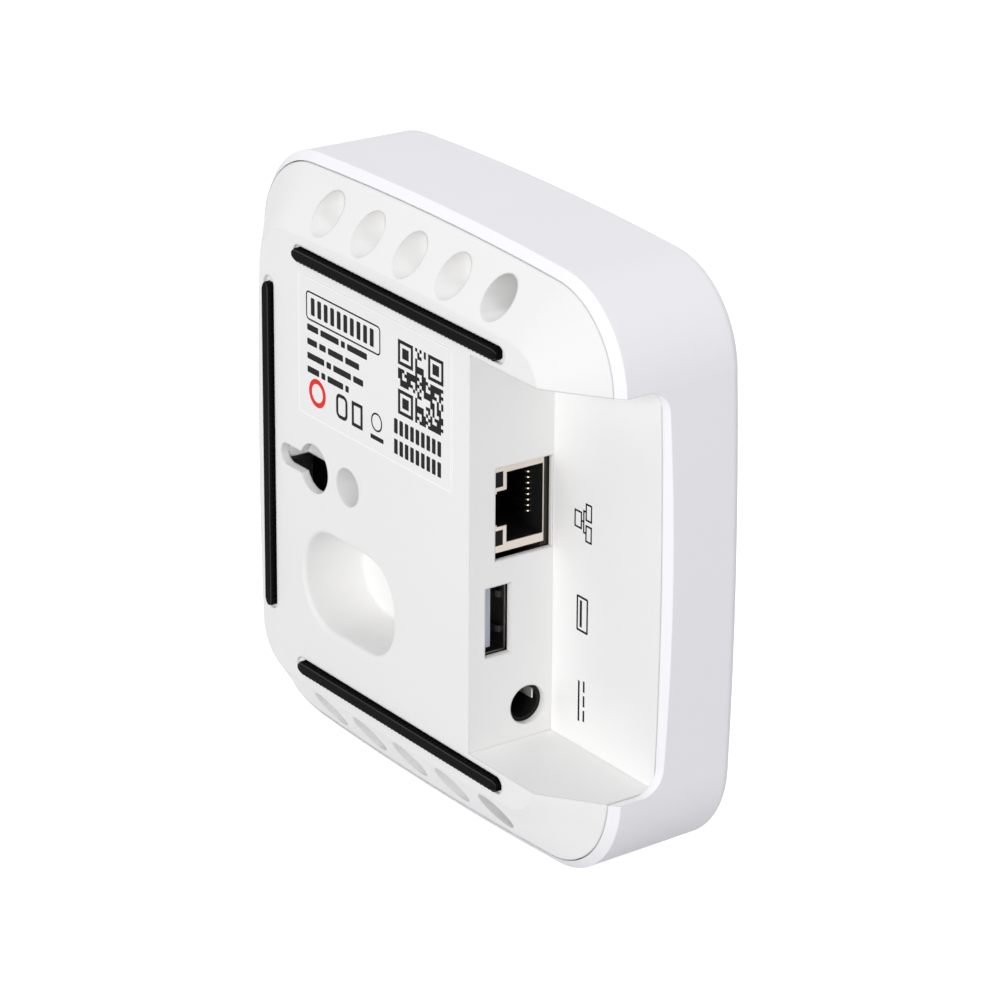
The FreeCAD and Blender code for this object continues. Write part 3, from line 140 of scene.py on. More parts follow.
lighting = add_node(tent, "ShaderNodeBackground", (0, 100), Color=(*TENT_COLOR, 1),
                    Strength=AMBIENT)
white = add_node(tent, "ShaderNodeBackground", (0, -100), Color=(1, 1, 1, 1), Strength=1.0)
choose = add_node(tent, "ShaderNodeMixShader", (300, 0))
world_out = add_node(tent, "ShaderNodeOutputWorld", (500, 0))
tent.links.new(seen_ray(tent, (-700, 300)), choose.inputs[0])
tent.links.new(lighting.outputs[0], choose.inputs[1])
tent.links.new(white.outputs[0], choose.inputs[2])
tent.links.new(choose.outputs[0], world_out.inputs["Surface"])
print("world", world.name, "at strength", AMBIENT)

# %% [markdown]
# In the tent, a large soft light faces the back panel from the right, and a weaker one hangs above.
# A third one stands before the front face, which the picture doesn't show, so that it isn't left in
# the dark. A square area lamp half a metre wide throws the soft shadows of such a light.

# %% Lamps
LAMP_WHITE = (1.0, 0.995, 0.985)
LAMP_SIZE = 0.5
LAMP_DISTANCE = 1.2
AIM_DEPTH = 16.0
LAMPS = {"key_softbox": ((0.45, -0.83, 0.25), 6.40), "top_softbox": ((0.0, 0.0, 1.0), 2.00),
         "front_softbox": ((-0.45, 0.9, 0.1), 3.20)}


def add_lamp(name, place, aim, power):
    """A soft square lamp that points at a place."""
    data = bpy.data.lights.new(name, "AREA")
    data.shape = "SQUARE"
    data.size = LAMP_SIZE
    data.energy = power
    data.color = LAMP_WHITE
    lamp = bpy.data.objects.new(name, data)
    lamp.location = place
    lamp.rotation_euler = (aim - place).to_track_quat("-Z", "Y").to_euler()
    scene.collection.objects.link(lamp)
    print("lamp", name, power, "W")


hub_middle = on_hub(0, AIM_DEPTH, 0)
for lamp_name, (direction, power) in LAMPS.items():
    lamp_place = hub_middle + LAMP_DISTANCE * Vector(direction).normalized()
    add_lamp(lamp_name, lamp_place, hub_middle, power)

# %% [markdown]
# The floor is a wide pale sheet under the hub's lower edge. It takes the real light and gives some
# back to the hub's lower side. A whiter sheet would throw too much light back, so the sheet stays
# pale grey and only seen rays get a glow on top, which takes it to plain white round the shadow.

# %% Floor
FLOOR_HALF = 3.0
FLOOR_COLOR = (0.65, 0.65, 0.66)
FLOOR_GLOW = 0.85


def build_mesh(name, points, faces):
    """A new object from points and faces."""
    mesh = bpy.data.meshes.new(name)
    mesh.from_pydata([tuple(point) for point in points], [], faces)
    mesh.update()
    made = bpy.data.objects.new(name, mesh)
    scene.collection.objects.link(made)
    print(name, len(points), "points", len(faces), "faces")
    return made


floor_corners = [(x * FLOOR_HALF, y * FLOOR_HALF, 0)
                 for x, y in ((-1, -1), (1, -1), (1, 1), (-1, 1))]
floor = build_mesh("studio_floor", floor_corners, [(0, 1, 2, 3)])
floor_paper = bpy.data.materials.new("floor_paper")
floor_paper.use_nodes = True
sheet_tree = floor_paper.node_tree
sheet_tree.nodes.clear()
paper = add_node(sheet_tree, "ShaderNodeBsdfDiffuse", (0, 100), Color=(*FLOOR_COLOR, 1))
glow = add_node(sheet_tree, "ShaderNodeEmission", (0, -100), Color=(1, 1, 1, 1))
glow_level = add_node(sheet_tree, "ShaderNodeMath", (-200, -100), operation="MULTIPLY")
glow_level.inputs[1].default_value = FLOOR_GLOW
together = add_node(sheet_tree, "ShaderNodeAddShader", (250, 0))
floor_out = add_node(sheet_tree, "ShaderNodeOutputMaterial", (450, 0))
sheet_tree.links.new(seen_ray(sheet_tree, (-900, -100)), glow_level.inputs[0])
sheet_tree.links.new(glow_level.outputs[0], glow.inputs["Strength"])
sheet_tree.links.new(paper.outputs[0], together.inputs[0])
sheet_tree.links.new(glow.outputs[0], together.inputs[1])
sheet_tree.links.new(together.outputs[0], floor_out.inputs["Surface"])
floor.data.materials.append(floor_paper)

# %% [markdown]
# Moulded plastic isn't one flat colour. Its mould was spark eroded, which leaves a fine grain, and
# the colour varies a little where the plastic flowed. Both effects go on many pieces here, so they
# are built once as a node group: a wide soft noise for the tone and a fine noise for the grain. The
# fine noise also makes the surface a little rougher in one place than in the next.

# %% Moulded grain group
TONE_SCALE = 45.0
TONE_LOW, TONE_HIGH = 0.3, 0.7
ROUGH_SPREAD = 0.12


def new_group(name, inputs, outputs):
    """An empty node group with named inputs and outputs."""
    group = bpy.data.node_groups.new(name, "ShaderNodeTree")
    for label, kind, value in inputs:
        socket = group.interface.new_socket(label, in_out="INPUT", socket_type=kind)
        socket.default_value = value
    for label, kind in outputs:
        group.interface.new_socket(label, in_out="OUTPUT", socket_type=kind)
    start = add_node(group, "NodeGroupInput", (-900, 0))
    end = add_node(group, "NodeGroupOutput", (600, 0))
    return group, start, end


grain, grain_in, grain_out = new_group(
    "moulded_grain",
    [("Color", "NodeSocketColor", (0.8, 0.8, 0.8, 1)), ("Variation", "NodeSocketFloat", 0.03),
     ("Grain Size", "NodeSocketFloat", 0.25), ("Roughness", "NodeSocketFloat", 0.5)],
    [("Color", "NodeSocketColor"), ("Roughness", "NodeSocketFloat"), ("Height", "NodeSocketFloat")])
spot = add_node(grain, "ShaderNodeTexCoord", (-900, 300))
wide = add_node(grain, "ShaderNodeTexNoise", (-650, 350), Scale=TONE_SCALE, Detail=3.0)
per_metre = add_node(grain, "ShaderNodeMath", (-650, 100), operation="DIVIDE")
per_metre.inputs[0].default_value = 1 / MM
fine = add_node(grain, "ShaderNodeTexNoise", (-450, 100), Detail=2.0)
shade = add_node(grain, "ShaderNodeMapRange", (-450, 350), From_Min=TONE_LOW, From_Max=TONE_HIGH,
                 To_Max=1.0)
darker = add_node(grain, "ShaderNodeMath", (-650, -100), operation="SUBTRACT")
darker.inputs[0].default_value = 1.0
tint = add_node(grain, "ShaderNodeVectorMath", (-150, 250), operation="SCALE")
rough_shift = add_node(grain, "ShaderNodeMath", (-200, -150), operation="MULTIPLY_ADD")
rough_shift.inputs[1].default_value = ROUGH_SPREAD
rough_level = add_node(grain, "ShaderNodeMath", (-450, -150), operation="ADD")
rough_level.inputs[1].default_value = -ROUGH_SPREAD / 2
grain.links.new(spot.outputs["Object"], wide.inputs["Vector"])
grain.links.new(spot.outputs["Object"], fine.inputs["Vector"])
grain.links.new(grain_in.outputs["Grain Size"], per_metre.inputs[1])
grain.links.new(per_metre.outputs[0], fine.inputs["Scale"])
grain.links.new(grain_in.outputs["Variation"], darker.inputs[1])
grain.links.new(wide.outputs["Fac"], shade.inputs["Value"])
grain.links.new(darker.outputs[0], shade.inputs["To Min"])
grain.links.new(grain_in.outputs["Color"], tint.inputs[0])
grain.links.new(shade.outputs[0], tint.inputs["Scale"])
grain.links.new(tint.outputs[0], grain_out.inputs["Color"])
grain.links.new(grain_in.outputs["Roughness"], rough_level.inputs[0])
grain.links.new(fine.outputs["Fac"], rough_shift.inputs[0])
grain.links.new(rough_level.outputs[0], rough_shift.inputs[2])
grain.links.new(rough_shift.outputs[0], grain_out.inputs["Roughness"])
grain.links.new(fine.outputs["Fac"], grain_out.inputs["Height"])
print("group", grain.name, "with", len(grain.nodes), "nodes")

# %% [markdown]
# White plastic lets light pass through thin walls, so its cups and pockets look paler than hollows
# in an opaque block. True scattering would show it too, but it doubles the render time. Here an
# Ambient Occlusion node finds the hollows, and they get a slightly paler colour: painted light. The
# port wall has the sockets behind it and nothing seeps through, so a mask by place and direction
# leaves it without this painted light.
# The Map Range node has a second set of sockets for vectors, which are taken by their numbers.

# %% Painted light in hollows
HOLLOW_REACH = 16.0
HOLLOW_FULL = 0.55
PAINTED_LIGHT_END = 20.0
PAINTED_LIGHT_FADE = 1.0
SIDEWAYS_FROM, SIDEWAYS_TO = 0.1, 0.6
RANGE_VECTOR, RANGE_FROM_MIN, RANGE_TO_MIN, RANGE_TO_MAX = 6, 7, 9, 10


def painted_hollow_light(tree, surface, color, hollow_light):
    """Paints light into a surface: a paler colour where it is hollow, except on the port wall."""
    hollow = add_node(tree, "ShaderNodeAmbientOcclusion", (-900, 300), samples=4,
                      Distance=HOLLOW_REACH * MM)
    place = add_node(tree, "ShaderNodeTexCoord", (-1700, 100))
    across = add_node(tree, "ShaderNodeSeparateXYZ", (-1500, 100))
    facing = add_node(tree, "ShaderNodeSeparateXYZ", (-1500, -100))
    sideways = add_node(tree, "ShaderNodeMapRange", (-1300, -100), From_Min=SIDEWAYS_FROM,
                        From_Max=SIDEWAYS_TO)
    port_wall = add_node(tree, "ShaderNodeMath", (-1100, -100), operation="MULTIPLY")
    in_bay = add_node(tree, "ShaderNodeMapRange", (-1300, 100), From_Min=PAINTED_LIGHT_END * MM,
                      From_Max=(PAINTED_LIGHT_END + PAINTED_LIGHT_FADE) * MM)
    closed = add_node(tree, "ShaderNodeMath", (-900, 100), operation="MAXIMUM")
    # painted light: the paler colour that hollows get
    paler = add_node(tree, "ShaderNodeMapRange", (-700, 200), data_type="FLOAT_VECTOR")
    paler.inputs[RANGE_FROM_MIN].default_value = (HOLLOW_FULL, HOLLOW_FULL, HOLLOW_FULL)
    paler.inputs[RANGE_TO_MIN].default_value = [min(1.0, level + hollow_light) for level in color]
    paler.inputs[RANGE_TO_MAX].default_value = color
    tree.links.new(place.outputs["Object"], across.inputs[0])
    tree.links.new(across.outputs["X"], in_bay.inputs["Value"])
    tree.links.new(hollow.outputs["AO"], closed.inputs[0])
    tree.links.new(place.outputs["Normal"], facing.inputs[0])
    tree.links.new(facing.outputs["X"], sideways.inputs["Value"])
    tree.links.new(sideways.outputs[0], port_wall.inputs[0])
    tree.links.new(in_bay.outputs["Result"], port_wall.inputs[1])
    tree.links.new(port_wall.outputs[0], closed.inputs[1])
    tree.links.new(closed.outputs[0], paler.inputs[RANGE_VECTOR])
    tree.links.new(paler.outputs["Vector"], surface.inputs["Color"])


# %% [markdown]
# Most pieces of the hub take the same recipe with other values: a colour, how rough it is, how
# coarse and how deep its grain is. A helper builds such a material round the group. The bump's
# strength stays low, because the grain of a case is felt more than it is seen. The bevel node
# softens the look of sharp edges by a few tenths of a millimetre, as a real mould does.

# %% A material recipe
GRAIN_BUMP = 0.0001


def moulded(name, color, roughness, grain_size=0.25, grain_depth=0.1, variation=0.03, metallic=0.0,
            coat=0.0, edge_round=0.0, hollow_light=0.0, shine=0.5):
    """A material with the moulded grain. Sizes are in millimetres."""
    material = bpy.data.materials.new(name)
    material.use_nodes = True
    tree = material.node_tree
    shader = tree.nodes["Principled BSDF"]
    surface = add_node(tree, "ShaderNodeGroup", (-500, 100), node_tree=grain)
    surface.inputs["Color"].default_value = (*color, 1)
    surface.inputs["Variation"].default_value = variation
    surface.inputs["Grain Size"].default_value = grain_size
    surface.inputs["Roughness"].default_value = roughness
    bump = add_node(tree, "ShaderNodeBump", (-250, -200), Strength=grain_depth)
    bump.inputs["Distance"].default_value = GRAIN_BUMP
    if edge_round:
        rounded = add_node(tree, "ShaderNodeBevel", (-500, -300), samples=4, Radius=edge_round * MM)
        tree.links.new(rounded.outputs[0], bump.inputs["Normal"])
    if hollow_light:
        # painted light: hollows get a paler colour
        painted_hollow_light(tree, surface, color, hollow_light)
    tree.links.new(surface.outputs["Color"], shader.inputs["Base Color"])
    tree.links.new(surface.outputs["Roughness"], shader.inputs["Roughness"])
    tree.links.new(surface.outputs["Height"], bump.inputs["Height"])
    tree.links.new(bump.outputs[0], shader.inputs["Normal"])
    shader.inputs["Metallic"].default_value = metallic
    shader.inputs["Coat Weight"].default_value = coat
    shader.inputs["Specular IOR Level"].default_value = shine
    return material


def dress(material, *names):
    """Puts a material on nodes of the frame."""
    for name in names:
        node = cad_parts[name]
        if not node.material_slots:
            raise SystemExit("no material slot on " + name)
        for slot in node.material_slots:
            slot.link = "OBJECT"
            slot.material = material
    print(material.name, "on", ", ".join(names))


# %% [markdown]
# The case is white plastic in two slightly different finishes. One material could serve both, but
# they come from different moulds: the front shell is a touch cooler and duller than the rear cover.
# Only the cover has thin cups and pockets, so only it gets the painted light in its hollows.

# %% Case plastics
shell_white = moulded("shell_white", (0.945, 0.941, 0.966), 0.55, 0.3, 0.06, 0.012, edge_round=0.25,
                      shine=0.1)
# the cover's hollows get painted light, a paler colour
cover_white = moulded("cover_white", (0.864, 0.864, 0.853), 0.45, 0.3, 0.06, 0.012, edge_round=0.5,
                      hollow_light=0.09, shine=0.2)
dress(shell_white, "front_shell", "reset_button")
dress(cover_white, "rear_cover")

# %% [markdown]
# Inside the sockets there is black nylon, bright plated sheet metal and gold on the contacts. Metal
# needs no picture of metal: a metallic shader mirrors the room round it, and the fine grain makes
# it a little uneven. The lamp windows look black while they are off, because light that goes in
# hardly comes back.

# %% Socket materials
socket_black = moulded("socket_black", (0.012, 0.012, 0.013), 0.42, 0.2, 0.15, 0.2, shine=0.15)
jack_metal = moulded("jack_metal", (0.84, 0.77, 0.69), 0.30, 1.2, 0.02, 0.05, metallic=1.0)
usb_metal = moulded("usb_metal", (0.20, 0.19, 0.19), 0.35, 0.4, 0.05, 0.06, metallic=1.0)
spring_tin = moulded("spring_tin", (0.98, 0.95, 0.90), 0.55, 0.4, 0.03, 0.03, metallic=1.0)
contact_gold = moulded("contact_gold", (0.85, 0.62, 0.28), 0.22, 0.3, 0.04, 0.1, metallic=1.0)
tongue_grey = moulded("tongue_grey", (0.56, 0.60, 0.68), 0.45, 0.2, 0.1, 0.05)
lamp_dark = moulded("lamp_dark", (0.004, 0.005, 0.004), 0.30, 0.5, 0.02, 0.2, shine=0.15)
dress(socket_black, "network_jack_body", "usb_socket_riser", "power_socket_body",
      "reset_switch_body", "reset_switch_plunger")
dress(jack_metal, "network_jack_shield", "power_socket_pin")
dress(spring_tin, "power_socket_spring")
dress(usb_metal, "usb_socket_shell")
dress(contact_gold, "network_jack_contacts", "usb_socket_contacts", "long_range_antenna")
dress(tongue_grey, "usb_socket_tongue")
dress(lamp_dark, "network_jack_lamps")

# %% [markdown]
# The inner pieces hardly show, but a hub that is opened or cut should still look right. Each kind
# of part gets the recipe with its own colour and grain, which costs little: the board's lacquer is
# brown, like its edge in the network opening, chips are black moulding, cans are plated steel and
# the heat sink is anodised aluminium.

# %% Inner materials
board_brown = moulded("board_brown", (0.035, 0.026, 0.018), 0.45, 0.8, 0.05, 0.25, coat=0.1)
chip_black = moulded("chip_black", (0.025, 0.025, 0.028), 0.55, 0.15, 0.2, 0.15)
ferrite_grey = moulded("ferrite_grey", (0.09, 0.09, 0.095), 0.6, 0.2, 0.25, 0.2)
plated_steel = moulded("plated_steel", (0.62, 0.62, 0.60), 0.32, 0.5, 0.06, 0.08, metallic=1.0)
screw_zinc = moulded("screw_zinc", (0.50, 0.50, 0.52), 0.35, 0.3, 0.10, 0.12, metallic=1.0)
sink_aluminium = moulded("sink_aluminium", (0.70, 0.71, 0.73), 0.40, 0.25, 0.15, 0.05, metallic=1.0)
pad_grey = moulded("pad_grey", (0.36, 0.42, 0.48), 0.8, 0.5, 0.2, 0.08)
dress(board_brown, "main_board", "wireless_network_board", "mesh_radio_board",
      "long_range_radio_board")
dress(chip_black, "network_transformer", "voltage_regulators", "processor", "memory_chips",
      "storage_chip", "network_chip")
dress(ferrite_grey, "power_inductor")
dress(plated_steel, "wireless_network_shield", "mesh_radio_shield", "long_range_radio_shield",
      "crystals")
dress(screw_zinc, "case_screws", "board_screws")
dress(sink_aluminium, "heatsink", "power_capacitors")
dress(pad_grey, "thermal_pad")

# %% [markdown]
# The lamp behind the front face shines through a clear rod. A fully clear glass would show the
# board behind it, so the rod is only partly clear and a little rough, and looks milky.

# %% Clear pieces
CLEAR_SHARE = 0.7
CLEAR_BEND = 1.49


def clear_plastic(name, color, roughness):
    """Clear moulding with a slightly uneven surface."""
    material = bpy.data.materials.new(name)
    material.use_nodes = True
    tree = material.node_tree
    shader = tree.nodes["Principled BSDF"]
    surface = add_node(tree, "ShaderNodeGroup", (-500, 100), node_tree=grain)
    surface.inputs["Color"].default_value = (*color, 1)
    surface.inputs["Roughness"].default_value = roughness
    tree.links.new(surface.outputs["Color"], shader.inputs["Base Color"])
    tree.links.new(surface.outputs["Roughness"], shader.inputs["Roughness"])
    shader.inputs["Transmission Weight"].default_value = CLEAR_SHARE
    shader.inputs["IOR"].default_value = CLEAR_BEND
    return material


dress(clear_plastic("guide_clear", (0.90, 0.91, 0.92), 0.35), "light_guide")
dress(clear_plastic("lamp_lens", (0.85, 0.88, 0.60), 0.15), "status_lamp")

# %% [markdown]
# The rubber feet are strips with a flat back, sloped shoulders and fine ribs along both sides. The
# CAD has a plain bar with round ends. Here each strip is a chain of cross sections along its
# length, and they get wider and narrower in turn, which makes the ribs. The ends are cut to a few
# flat corners, so the last sections narrow in steps. The shoulders get a paler rubber, which is a
# painted highlight.

# %% Ribbed rubber feet
FOOT_LENGTH = 60.5
FOOT_WIDTH = 2.65
FOOT_PROUD = 1.0
FOOT_SUNK = 0.55
SIDE_TOP = 0.55
SHOULDER = ((0.74, 0.86), (0.60, 0.98), (0.50, 1.0))
# the shoulder faces that get the painted highlight
HIGHLIGHT_COLUMNS = (2, 6)
RIB_PITCH = 1.1
RIB_DEPTH = 0.22
RIB_STEPS = (0.0, 0.5, 1.0, 0.5)
END_STEPS = ((0.0, 0.42), (0.35, 0.74), (0.75, 0.93))
END_LOW = 0.75
rubber_black = moulded("rubber_black", (0.002, 0.002, 0.0022), 0.6, 0.2, 0.5, 0.3, shine=0.04)
# a paler rubber for the painted highlight on the shoulders
rubber_shoulder_highlight = moulded("rubber_shoulder_highlight", (0.045, 0.045, 0.047), 0.6, 0.2, 0.5, 0.3, shine=0.04)


def foot_section(half, rib):
    """A turn of points across the strip: sideways and height above the panel."""
    edge = half - rib
    points = [(-edge, -FOOT_SUNK), (-edge, SIDE_TOP * FOOT_PROUD)]
    points += [(-out * half, high * FOOT_PROUD) for out, high in SHOULDER]
    return points + [(-side, height) for side, height in reversed(points)]


def foot_stations():
    """Places along the strip, each with its half width and how deep its ribs are cut."""
    half_run = FOOT_LENGTH / 2
    half = FOOT_WIDTH / 2
    stations = [(-half_run + short * half, share * half, 0.0) for short, share in END_STEPS]
    count = len(RIB_STEPS) * int((FOOT_LENGTH - FOOT_WIDTH) / RIB_PITCH)
    for step in range(count + 1):
        along = -half_run + half + (FOOT_LENGTH - FOOT_WIDTH) * step / count
        stations.append((along, half, RIB_DEPTH * RIB_STEPS[step % len(RIB_STEPS)]))
    far_end = [(-along, side, rib) for along, side, rib in reversed(stations[:len(END_STEPS)])]
    return stations + far_end


def face_outward(made):
    """Turns all faces of a closed mesh outward."""
    shell = bmesh.new()
    shell.from_mesh(made.data)
    bmesh.ops.recalc_face_normals(shell, faces=shell.faces)
    shell.to_mesh(made.data)
    shell.free()


def ribbed_foot(name, centre_x, centre_z, upright):
    """A strip round its middle on the panel, upright or level."""
    half = FOOT_WIDTH / 2
    stations = foot_stations()
    points = []
    for along, side, rib in stations:
        for across, height in foot_section(side, rib):
            shift_x, shift_z = (across, along) if upright else (along, across)
            low_end = min(1.0, END_LOW + (1 - END_LOW) * side / half)
            points.append(on_hub(centre_x + shift_x, -height * low_end, centre_z + shift_z))
    ring = len(foot_section(half, 0.0))
    faces = []
    for row in range(len(stations) - 1):
        for column in range(ring):
            near, after = row * ring + column, row * ring + (column + 1) % ring
            faces.append((near, after, after + ring, near + ring))
    faces.append(tuple(range(ring)))
    last = (len(stations) - 1) * ring
    faces.append(tuple(last + column for column in reversed(range(ring))))
    foot = build_mesh(name, points, faces)
    foot.data.materials.append(rubber_black)
    foot.data.materials.append(rubber_shoulder_highlight)
    # the shoulder faces take the painted highlight
    for face in foot.data.polygons:
        if face.index < last and face.index % ring in HIGHLIGHT_COLUMNS:
            face.material_index = 1
    face_outward(foot)
    return foot


FEET = {"rubber_foot_top": (0.3, 38.45, False), "rubber_foot_bottom": (1.0, -38.45, False),
        "rubber_foot_left": (-38.45, 0.3, True)}
for node_name, (x, z, upright) in FEET.items():
    strip = ribbed_foot("ribbed_" + node_name.removeprefix("rubber_"), x, z, upright)
    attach(strip, "case")
    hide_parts(node_name)

# %% [markdown]
# Printing is ink a few hundredths of a millimetre thick. Each printed shape here is a thin plate
# on its surface, so it stays sharp at any distance and needs no image. Helpers make the
# outlines: filled shapes from their points, and frames from an outer and an inner line.

# %% Printing helpers
INK = 0.02
SMALLEST_RADIUS = 0.01


def printed(name, fills, frames, depth, material, sideways=False):
    """One piece of thin plates at a depth, from filled outlines and from pairs of outlines.

    Sideways plates face +X, so their depth counts along X and their outlines give depth and height.
    """
    points, faces = [], []

    def add_loop(loop):
        start = len(points)
        for raised in (0.0, INK):
            points.extend(on_hub(depth + raised, a, b) if sideways else on_hub(a, depth - raised, b)
                          for a, b in loop)
        return start

    for loop in fills:
        start, count = add_loop(loop), len(loop)
        faces.append(tuple(start + index for index in range(count)))
        faces.append(tuple(start + count + index for index in reversed(range(count))))
        for index in range(count):
            near, after = start + index, start + (index + 1) % count
            faces.append((near, near + count, after + count, after))
    for outer, inner in frames:
        start, hole, count = add_loop(outer), add_loop(inner), len(outer)
        for index in range(count):
            near, after = start + index, start + (index + 1) % count
            near_hole, after_hole = hole + index, hole + (index + 1) % count
            faces += [(near, after, after_hole, near_hole),
                      (near + count, near_hole + count, after_hole + count, after + count),
                      (near, near + count, after + count, after),
                      (near_hole, after_hole, after_hole + count, near_hole + count)]
    piece = build_mesh(name, points, faces)
    face_outward(piece)
    piece.data.materials.append(material)
    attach(piece, "case")


def rounded_loop(left, right, low, high, radius, steps=6):
    """Points round a rectangle with round corners."""
    radius = min(radius, (right - left) / 2, (high - low) / 2)
    centres = [(right - radius, low + radius, -90), (right - radius, high - radius, 0),
               (left + radius, high - radius, 90), (left + radius, low + radius, 180)]
    loop = []
    for x, z, start in centres:
        for step in range(steps + 1):
            angle = math.radians(start + 90 * step / steps)
            loop.append((x + radius * math.cos(angle), z + radius * math.sin(angle)))
    return loop


def frame_loops(left, right, low, high, radius, line):
    """The two outlines of a frame whose line has the given width."""
    return (rounded_loop(left, right, low, high, radius),
            rounded_loop(left + line, right - line, low + line, high - line,
                         max(radius - line, SMALLEST_RADIUS)))


def circle_loops(x, z, radius, line):
    """The two outlines of a ring round a point."""
    return frame_loops(x - radius, x + radius, z - radius, z + radius, radius, line)


def stroke(x0, z0, x1, z1, line):
    """A straight line of ink with square ends."""
    along = Vector((x1 - x0, z1 - z0)).normalized() * line / 2
    across = Vector((-along.y, along.x))
    corners = [Vector((x0, z0)) - along + across, Vector((x1, z1)) + along + across,
               Vector((x1, z1)) + along - across, Vector((x0, z0)) - along - across]
    return [tuple(corner) for corner in corners]


# %% [markdown]
# The label is a white film. It is printed with plain bars and frames only: a framed number field,
# lines for the data of the supply, and small outlines and bars under them. Rows of rounded plates
# stand for the words, so the label is as full as a real one and says nothing.

# %% Label
LABEL_FACE = -0.12
TEXT_LEFT = -26.2
TEXT_HIGH = 1.15
WORD_GAP = 0.7
TEXT_LINES = {25.6: (3.4, 5.6, 1.2, 6.0), 23.0: (3.0, 2.0, 4.6, 4.2), 20.4: (5.2, 1.4, 5.4, 3.0),
              17.9: (3.6, 1.2, 4.8, 1.0)}
label_film = moulded("label_film", (0.850, 0.850, 0.843), 0.45, 0.6, 0.03, 0.01)
dress(label_film, "rating_label")
ink_black = moulded("ink_black", (0.006, 0.006, 0.006), 0.55, 0.3, 0.05, 0.2, shine=0.1)


def bar_row(count, left, pitch, width, low, high, radius):
    """A row of upright bars."""
    starts = [left + index * pitch for index in range(count)]
    return [rounded_loop(start, start + width, low, high, radius) for start in starts]


bars = bar_row(10, -25.0, 2.0, 1.15, 28.55, 31.75, 0.25)
for line_height, words in TEXT_LINES.items():
    x = TEXT_LEFT
    for length in words:
        bars.append(rounded_loop(x, x + length, line_height, line_height + TEXT_HIGH, 0.2))
        x += length + WORD_GAP
for line_height in (15.2, 11.5):
    bars += bar_row(9, 0.2, 1.6, 1.05, line_height, line_height + 2.7, 0.2)
bars.append(rounded_loop(-6.9, -3.0, 12.0, 12.8, 0.1))
label_frames = [frame_loops(-26.5, -3.85, 27.5, 32.8, 0.9, 0.30),
                frame_loops(-17.4, -13.9, 12.4, 16.9, 1.2, 0.65),
                frame_loops(-12.6, -9.3, 12.4, 16.9, 0.1, 0.65),
                frame_loops(-6.7, -3.4, 13.6, 17.0, 1.6, 0.32)]
printed("label_print", bars, label_frames, LABEL_FACE, ink_black)

# %% [markdown]
# The label's block field has three framed corners. The rest follows a simple rule of rows and
# columns, so it holds no message.

# %% Block field of the label
BLOCKS = 21
CORNER = 7
BLOCK_LEFT, BLOCK_LOW, BLOCK_SIZE = 1.4, 19.1, 13.3 / BLOCKS
BLOCK_INK = BLOCK_SIZE * 0.98
BLOCK_RULE, BLOCK_DARK = 11, 6
blocks = []
block_frames = []
for row in range(BLOCKS):
    for column in range(BLOCKS):
        far_row, far_column = row >= BLOCKS - CORNER - 1, column >= BLOCKS - CORNER - 1
        near_row, near_column = row <= CORNER, column <= CORNER
        in_corner = (far_row and (near_column or far_column)) or (near_row and near_column)
        rest = (3 * row * row + 5 * column * column + row * column + 2 * row) % BLOCK_RULE
        if not in_corner and rest < BLOCK_DARK:
            left, low = BLOCK_LEFT + column * BLOCK_SIZE, BLOCK_LOW + row * BLOCK_SIZE
            right, high = left + BLOCK_INK, low + BLOCK_INK
            blocks.append([(left, low), (right, low), (right, high), (left, high)])
for column, row in ((0, 0), (0, BLOCKS - CORNER), (BLOCKS - CORNER, BLOCKS - CORNER)):
    left, low = BLOCK_LEFT + column * BLOCK_SIZE, BLOCK_LOW + row * BLOCK_SIZE
    side = CORNER * BLOCK_SIZE
    block_frames.append(frame_loops(left, left + side, low, low + side, 0.02, BLOCK_SIZE))
    blocks.append(rounded_loop(left + 2 * BLOCK_SIZE, left + side - 2 * BLOCK_SIZE,
                               low + 2 * BLOCK_SIZE, low + side - 2 * BLOCK_SIZE, 0.02))
printed("label_block_field", blocks, block_frames, LABEL_FACE, ink_black)
print("label bars", len(bars), "blocks", len(blocks))

# %% [markdown]
# A pale line round the label is its cut edge, which catches the light. The film is too thin for a
# bevel to show, so the line is printed. The one spot of colour on the label is a plain red ring.

# %% Edge and ring of the label
edge_white = moulded("label_edge_white", (0.98, 0.98, 0.98), 0.5, 0.3, 0.03, 0.005)
ink_red = moulded("ink_red", (0.80, 0.035, 0.02), 0.55, 0.3, 0.05, 0.1, shine=0.1)
label_edge = frame_loops(-28.95, 16.95, 9.85, 35.15, 0.4, 0.16)
printed("label_edge", [], [label_edge], LABEL_FACE, edge_white)
printed("label_red_ring", [], [circle_loops(-23.2, 14.75, 2.6, 0.9)], LABEL_FACE, ink_red)

# %% [markdown]
# Beside each socket there is a small mark on the bay's floor. Three joined boxes stand for the
# network, a flat socket's outline for the data plug, and a line over three dashes, the usual
# sign for direct current, for the power plug. All three are strokes and frames of the same ink.

# %% Bay marks
BAY_FLOOR = 17.1
MARK_LINE = 0.34
DIRECT_LINE = 0.45
DASH_PITCH = 2.7
NETWORK_BOXES = [(31.3, 33.1, 5.75, 8.95), (31.3, 33.1, 1.95, 5.05), (28.2, 30.3, 3.8, 7.0)]
NETWORK_LINES = [(30.8, 3.5, 30.8, 7.35), (30.8, 7.35, 31.3, 7.35), (30.8, 3.5, 31.3, 3.5),
                 (30.3, 5.4, 30.8, 5.4)]
network_frames = [frame_loops(*box, 0.05, MARK_LINE) for box in NETWORK_BOXES]
network_strokes = [stroke(*line, MARK_LINE) for line in NETWORK_LINES]
printed("network_mark", network_strokes, network_frames, BAY_FLOOR, ink_black)
data_plug = frame_loops(29.1, 32.3, -14.7, -8.2, 0.3, 0.40)
printed("data_mark", [stroke(30.3, -13.6, 30.3, -9.3, 0.6)], [data_plug], BAY_FLOOR, ink_black)
power_strokes = [stroke(30.0, -31.0, 30.0, -24.0, DIRECT_LINE)]
